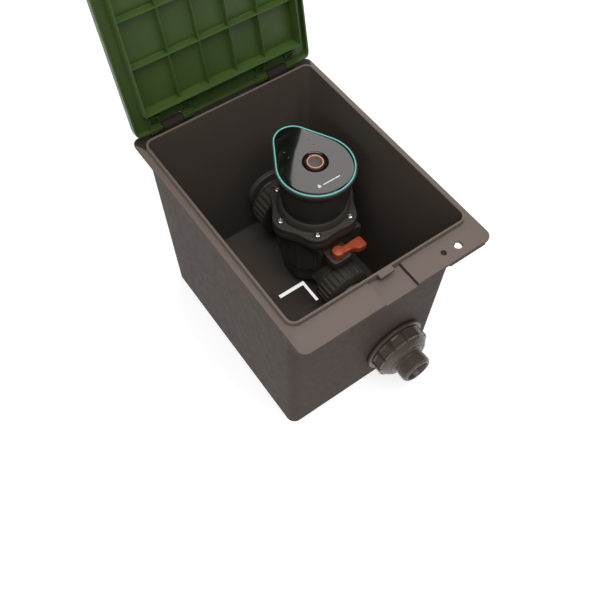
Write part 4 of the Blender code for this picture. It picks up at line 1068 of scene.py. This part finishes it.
def build_head():
    """Thin teardrop shell: an outline moved in and out as its profile climbs the side, turns over
    the rim into the recess for the face and comes back down inside, closed round the button."""
    outer = [(-6.2, 140.4), (-4.6, 140.4), (-4.3, 141.0), (-3.6, 146.0), (-2.8, 152.0), (-2.0, 164.0),
             (-1.5, 172.5), (-1.3, 174.5), (-0.6, 176.4), (0.6, 178.2), (1.5, 179.6), (2.0, 181.0),
             (2.0, 184.2), (1.85, 184.9), (1.4, 185.4), (1.0, 185.6), (0.85, 185.3), (0.85, 183.0)]
    inner = [(-4.4, 178.0), (-4.6, 174.0), (-5.2, 152.0), (-6.6, 141.0)]
    well = button_rows([(BUTTON_WELL, 183.0), (BUTTON_WELL, 178.0)])
    pillar = [(1.5, 140.6), (3.2, 140.6), (3.2, 178.2), (1.5, 178.2)]
    shells = [wrapped(teardrop_rows(outer) + well + teardrop_rows(inner))]
    shells += [turned(pillar, (x, y, 0), steps=24, ring=True)
               for x, y in ((36.0, -1.4), (17.5, 46.9), (54.5, 46.9))]
    piece("head_shell", shells, "head", "black_plastic", ["controller_housing"], sharp=45)

    edge = [(-0.85, 183.3), (-0.85, 185.75), (-0.95, 185.95), (-1.2, 186.05), (-3.0, 186.12), (-8.0, 186.2)]
    dish = [(14.2, 186.2), (13.0, 186.17), (12.4, 186.0), (11.9, 185.4), (11.3, 184.6), (10.6, 184.1),
            (9.95, 183.95)]
    rows = button_rows([(BUTTON_WELL, 183.3)]) + teardrop_rows(edge) + button_rows(dish)
    piece("face_cover", [wrapped(rows)], "head", "gloss_black", ["face_plate"], sharp=55)

    line = [(0.55, 183.3), (0.55, 185.8), (0.35, 186.08), (0.0, 186.16), (-0.35, 186.08), (-0.55, 185.8),
            (-0.55, 183.3)]
    piece("face_line", [wrapped(teardrop_rows(line))], "head", "teal_line", ["teal_ring"], sharp=50)
    build_face_marks()
    build_button()


def build_face_marks():
    """Four small windows, and a drop beside a slim bar: the drop is a circle whose upper half is
    narrowed by 1-0.45*sin(a) and stretched by 1+0.55*sin(a)."""
    window = eased([(0, 185.6), (0.85, 185.6), (0.85, 186.23), (0, 186.25)], 0.1)
    windows = [turned(window, (x, y, 0), steps=24)
               for x, y in ((20.1, 54.6), (48.7, 54.6), (19.9, 46.9), (48.9, 46.9))]
    piece("indicator_windows", windows, "head", "gloss_black", finishes=["board_green"])

    angle = np.linspace(0, 2 * pi, 40, endpoint=False)
    upper = np.maximum(np.sin(angle), 0)
    drop = np.stack([23.0 + 1.75 * np.cos(angle) * (1 - 0.45 * upper),
                     2.1 + 1.75 * np.sin(angle) * (1 + 0.55 * upper)], -1)
    bar = pad((27.0, 1.2, 186.0), (46.6, 2.5, 186.32), 0.6, 0.05)
    piece("face_mark", [stacked([drop, drop], [186.0, 186.32]), bar], "head", "gloss_black",
          finishes=["mark_white"])


def build_button():
    """Turned cap with a shallow dish in its middle, and the ring set into it."""
    low, top = 176.9, 186.9
    place = (BUTTON_X, BUTTON_Y, 0)
    cap = eased([(0, low), (10.8, low), (10.8, low + 0.8), (9.3, low + 0.8), (9.3, top - 0.9),
                 (8.5, top - 0.25), (8.2, top - 0.3), (8.2, top - 1.0), (6.8, top - 1.0),
                 (6.8, top - 0.45)], 0.25)
    centre = eased([(6.8, top - 0.45), (6.4, top - 0.5), (4.5, top - 0.85), (2.0, top - 0.95),
                    (0, top - 0.97)], 0.5)
    piece("button_cap", [turned(cap, place, steps=96), (*turned(centre, place, steps=96), 1)], "button",
          "button_brown", ["button"], ["button_brown", "button_centre"], sharp=50)
    ring = eased([(7.0, top - 0.7), (8.0, top - 0.7), (8.0, top), (7.0, top)], 0.3, closed=True)
    piece("button_line", [turned(ring, place, steps=96, ring=True)], "button", "button_orange",
          ["button_ring"], sharp=60)


def build_springs():
    """Round wire carried along an even helix."""
    for name, node, radius, wire, turns, low, high, x, y, body in (
            ("diaphragm_coil", "diaphragm_spring", 10.0, 0.6, 3, 124.9, 131.1, VALVE_X, VALVE_Y, "box"),
            ("button_coil", "button_spring", 5.0, 0.35, 3, 174.25, 176.25, BUTTON_X, BUTTON_Y, "head"),
            ("plunger_coil", "plunger_spring", 2.4, 0.35, 4, 155.65, 162.55, 36.0, 48.0, "head")):
        piece(name, [swept(helix((x, y), radius, low, high, turns), wire)], body, "steel", [node])


def finish_kept_nodes():
    """Gives every node that is shown as it is the procedural finish of its own slot."""
    for name, node in NODES.items():
        if not node.hide_render:
            node.data.materials.clear()
            node.data.materials.append(finish(SLOT_OF[name]))


# ---------------------------------------------------------------- stage
CAMERA_PLACE, CAMERA_AZIMUTH, CAMERA_ELEVATION, CAMERA_ROLL = (-0.2479, -0.3355, 0.7072), -36.69, 59.16, 1.31


def build_stage(settings):
    """Floor, studio lights, dim surroundings and the camera, in metres."""
    edge = 6.0
    mesh = bpy.data.meshes.new("floor")
    places = [(-edge, -edge, 0), (edge, -edge, 0), (edge, edge, 0), (-edge, edge, 0)]
    mesh.from_pydata(places, [], [(0, 1, 2, 3)])
    paint = Finish("floor_white", 0.9)
    paint.colour(paint.mixed(paint.noise(4.0), (0.46, 0.46, 0.46), (0.50, 0.50, 0.50)))
    paint.finished(Emission_Color=(1.0, 1.0, 1.0, 1.0), Emission_Strength=settings.floor_glow)
    mesh.materials.append(paint.material)
    added("floor", mesh)

    for name, place, target_z, width, height, power in (
            ("overhead_softbox", (-0.05, -0.45, 2.1), 0.1, 1.8, 1.8, settings.overhead_power),
            ("back_right_softbox", (1.15, 1.25, 1.55), 0.2, 1.5, 1.5, settings.back_power),
            ("left_softbox", (-1.9, -0.7, 0.9), 0.15, 1.4, 1.2, settings.left_power),
            ("front_softbox", (-0.2, -2.2, 1.2), 0.2, 1.4, 1.2, settings.front_power)):
        lamp = bpy.data.lights.new(name, "AREA")
        lamp.shape, lamp.size, lamp.size_y, lamp.energy = "RECTANGLE", width, height, power
        made = added(name, lamp)
        made.location = place
        made.rotation_euler = (Vector((0, 0, target_z)) - Vector(place)).to_track_quat("-Z", "Y").to_euler()

    world = bpy.data.worlds.new("studio")
    world.use_nodes = True
    world.node_tree.nodes["Background"].inputs["Color"].default_value = (1, 1, 1, 1)
    world.node_tree.nodes["Background"].inputs["Strength"].default_value = settings.surroundings
    bpy.context.scene.world = world
    bpy.context.scene.view_settings.view_transform = "Standard"

    azimuth, elevation, roll = radians(CAMERA_AZIMUTH), radians(CAMERA_ELEVATION), radians(CAMERA_ROLL)
    back = Vector((sin(azimuth) * cos(elevation), -cos(azimuth) * cos(elevation), sin(elevation)))
    right = Vector((0, 0, 1)).cross(back).normalized()
    up = back.cross(right)
    across, over = cos(roll) * right + sin(roll) * up, cos(roll) * up - sin(roll) * right
    data = bpy.data.cameras.new("camera")
    data.lens, data.sensor_width, data.clip_start = settings.lens, 36.0, 0.01
    camera = added("camera", data)
    turn = Matrix((across, over, back)).transposed()
    camera.matrix_world = Matrix.Translation(CAMERA_PLACE) @ turn.to_4x4()
    bpy.context.scene.camera = camera


# ---------------------------------------------------------------- settings, operators and panel
def colour_setting(name, description, red, green, blue):
    return FloatVectorProperty(name=name, description=description, default=tint(red, green, blue), size=3,
                               min=0.0, max=1.0, subtype="COLOR")


def length_setting(name, description, millimetres):
    return FloatProperty(name=name, description=description, default=millimetres * MM, min=0.0,
                         unit="LENGTH", precision=5)


def light_setting(name, description, amount, unit="NONE"):
    return FloatProperty(name=name, description=description, default=amount, min=0.0, unit=unit)


class ValveBoxSettings(bpy.types.PropertyGroup):
    """Sizes and colours of the irrigation valve and its box."""

    wall_thickness: length_setting("Wall", "Thickness of the box's walls", 2.2)
    flange_thickness: length_setting("Flange", "Thickness of the box's flange", 3.0)
    rib_thickness: length_setting("Lid Ribs", "Thickness of the lid's ribs", 1.8)
    mouth_reach: length_setting("Mouth", "Distance of each pipe's mouth from the middle", 154.3)
    thread_pitch: length_setting("Pitch", "Pitch of the pipe threads", 2.309)
    thread_radius: length_setting("Thread", "Radius of the pipe threads' crests", 16.62)
    thread_turns: IntProperty(name="Turns", description="Turns of each pipe thread", default=5, min=1, max=8)
    box_colour: colour_setting("Box", "Plastic of the box", 122, 109, 101)
    # Painted shade: a darker copy of the box colour for the inside of the box.
    shaded_inside_colour: colour_setting("Box Inside", "Plastic of the box's inner walls", 105, 95, 87)
    lid_colour: colour_setting("Lid", "Plastic of the lid", 72, 96, 44)
    valve_colour: colour_setting("Valve", "Plastic of the valve and the head", 82, 75, 68)
    fitting_colour: colour_setting("Fittings", "Plastic of the tubes and wall nuts", 92, 82, 75)
    lever_colour: colour_setting("Lever", "Plastic of the lever", 200, 88, 52)
    line_colour: colour_setting("Face Line", "Line round the face", 112, 205, 196)
    button_colour: colour_setting("Button Ring", "Ring on the button", 232, 150, 112)


class StageSettings(bpy.types.PropertyGroup):
    """Camera lens and brightness of the studio."""

    lens: FloatProperty(name="Lens", description="Focal length of the camera", default=43.8, unit="CAMERA")
    surroundings: light_setting("Surroundings", "Brightness of the room", 0.04)
    floor_glow: light_setting("Floor Glow", "Light given off by the floor", 0.78)
    overhead_power: light_setting("Overhead", "Power of the light above", 33.0, "POWER")
    back_power: light_setting("Back Right", "Power of the light behind", 14.0, "POWER")
    left_power: light_setting("Left", "Power of the light on the left", 5.5, "POWER")
    front_power: light_setting("Front", "Power of the light in front", 0.1, "POWER")


class VALVEBOX_OT_stage(bpy.types.Operator):
    """Add the floor, lights and camera"""

    bl_idname = "valvebox.stage"
    bl_label = "Stage"

    def execute(self, context):
        build_stage(context.scene.valve_box_stage)
        return {"FINISHED"}


class VALVEBOX_OT_box(bpy.types.Operator):
    """Add the box, its hinge lugs and the baffle under its drain"""

    bl_idname = "valvebox.box"
    bl_label = "Box"

    def execute(self, context):
        build_box(context.scene.valve_box)
        return {"FINISHED"}


class VALVEBOX_OT_lid(bpy.types.Operator):
    """Add the ribbed lid with its knuckles and pins"""

    bl_idname = "valvebox.lid"
    bl_label = "Lid"

    def execute(self, context):
        build_lid(context.scene.valve_box)
        return {"FINISHED"}


class VALVEBOX_OT_bolt(bpy.types.Operator):
    """Add the slotted bolt that locks the lid"""

    bl_idname = "valvebox.bolt"
    bl_label = "Lock Bolt"

    def execute(self, context):
        build_lock_bolt()
        return {"FINISHED"}


class VALVEBOX_OT_valve(bpy.types.Operator):
    """Add the valve's casting, bonnet and screws"""

    bl_idname = "valvebox.valve"
    bl_label = "Valve"

    def execute(self, context):
        build_valve()
        return {"FINISHED"}


class VALVEBOX_OT_lever(bpy.types.Operator):
    """Add the hand lever and its pin"""

    bl_idname = "valvebox.lever"
    bl_label = "Lever"

    def execute(self, context):
        build_lever()
        return {"FINISHED"}


class VALVEBOX_OT_pipes(bpy.types.Operator):
    """Add both threaded tubes with their nuts and seals"""

    bl_idname = "valvebox.pipes"
    bl_label = "Pipe Ends"

    def execute(self, context):
        sizes = context.scene.valve_box
        build_pipe_end(sizes, -1, OUTLET_Z, 30.0,
                       ("outlet_tube", "outlet_seal", "outlet_union_nut", "wall_nut", "wall_gasket"),
                       ("outlet_union", "front_nut"))
        build_pipe_end(sizes, 1, INLET_Z, 84.0,
                       ("inlet_tube", "inlet_seal", "inlet_union_nut", "back_wall_nut", "back_wall_gasket"),
                       ("inlet_union", "back_nut"))
        return {"FINISHED"}


class VALVEBOX_OT_head(bpy.types.Operator):
    """Add the controller head with its face, button and springs"""

    bl_idname = "valvebox.head"
    bl_label = "Controller Head"

    def execute(self, context):
        build_head()
        build_springs()
        return {"FINISHED"}


class VALVEBOX_OT_finishes(bpy.types.Operator):
    """Give the nodes that are shown as they are their finishes"""

    bl_idname = "valvebox.finishes"
    bl_label = "Finishes"

    def execute(self, context):
        finish_kept_nodes()
        return {"FINISHED"}


OPERATORS = (VALVEBOX_OT_stage, VALVEBOX_OT_box, VALVEBOX_OT_lid, VALVEBOX_OT_bolt, VALVEBOX_OT_valve,
             VALVEBOX_OT_lever, VALVEBOX_OT_pipes, VALVEBOX_OT_head, VALVEBOX_OT_finishes)


class VALVEBOX_PT_panel(bpy.types.Panel):
    """Lists the settings and the pieces"""

    bl_label = "Valve Box"
    bl_idname = "VALVEBOX_PT_panel"
    bl_space_type = "VIEW_3D"
    bl_region_type = "UI"
    bl_category = "Valve Box"

    def draw(self, context):
        for settings in (context.scene.valve_box, context.scene.valve_box_stage):
            column = self.layout.column(align=True)
            for key in settings.__annotations__:
                column.prop(settings, key)
        for operator in OPERATORS:
            self.layout.operator(operator.bl_idname)


def register():
    for item in (ValveBoxSettings, StageSettings, *OPERATORS, VALVEBOX_PT_panel):
        bpy.utils.register_class(item)
    bpy.types.Scene.valve_box = PointerProperty(type=ValveBoxSettings)
    bpy.types.Scene.valve_box_stage = PointerProperty(type=StageSettings)


def unregister():
    del bpy.types.Scene.valve_box_stage
    del bpy.types.Scene.valve_box
    for item in reversed((ValveBoxSettings, StageSettings, *OPERATORS, VALVEBOX_PT_panel)):
        bpy.utils.unregister_class(item)


def main():
    """Registers the add-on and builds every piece."""
    register()
    for operator in OPERATORS:
        getattr(bpy.ops.valvebox, operator.bl_idname.split(".")[1])()


if __name__ == "__main__":
    main()
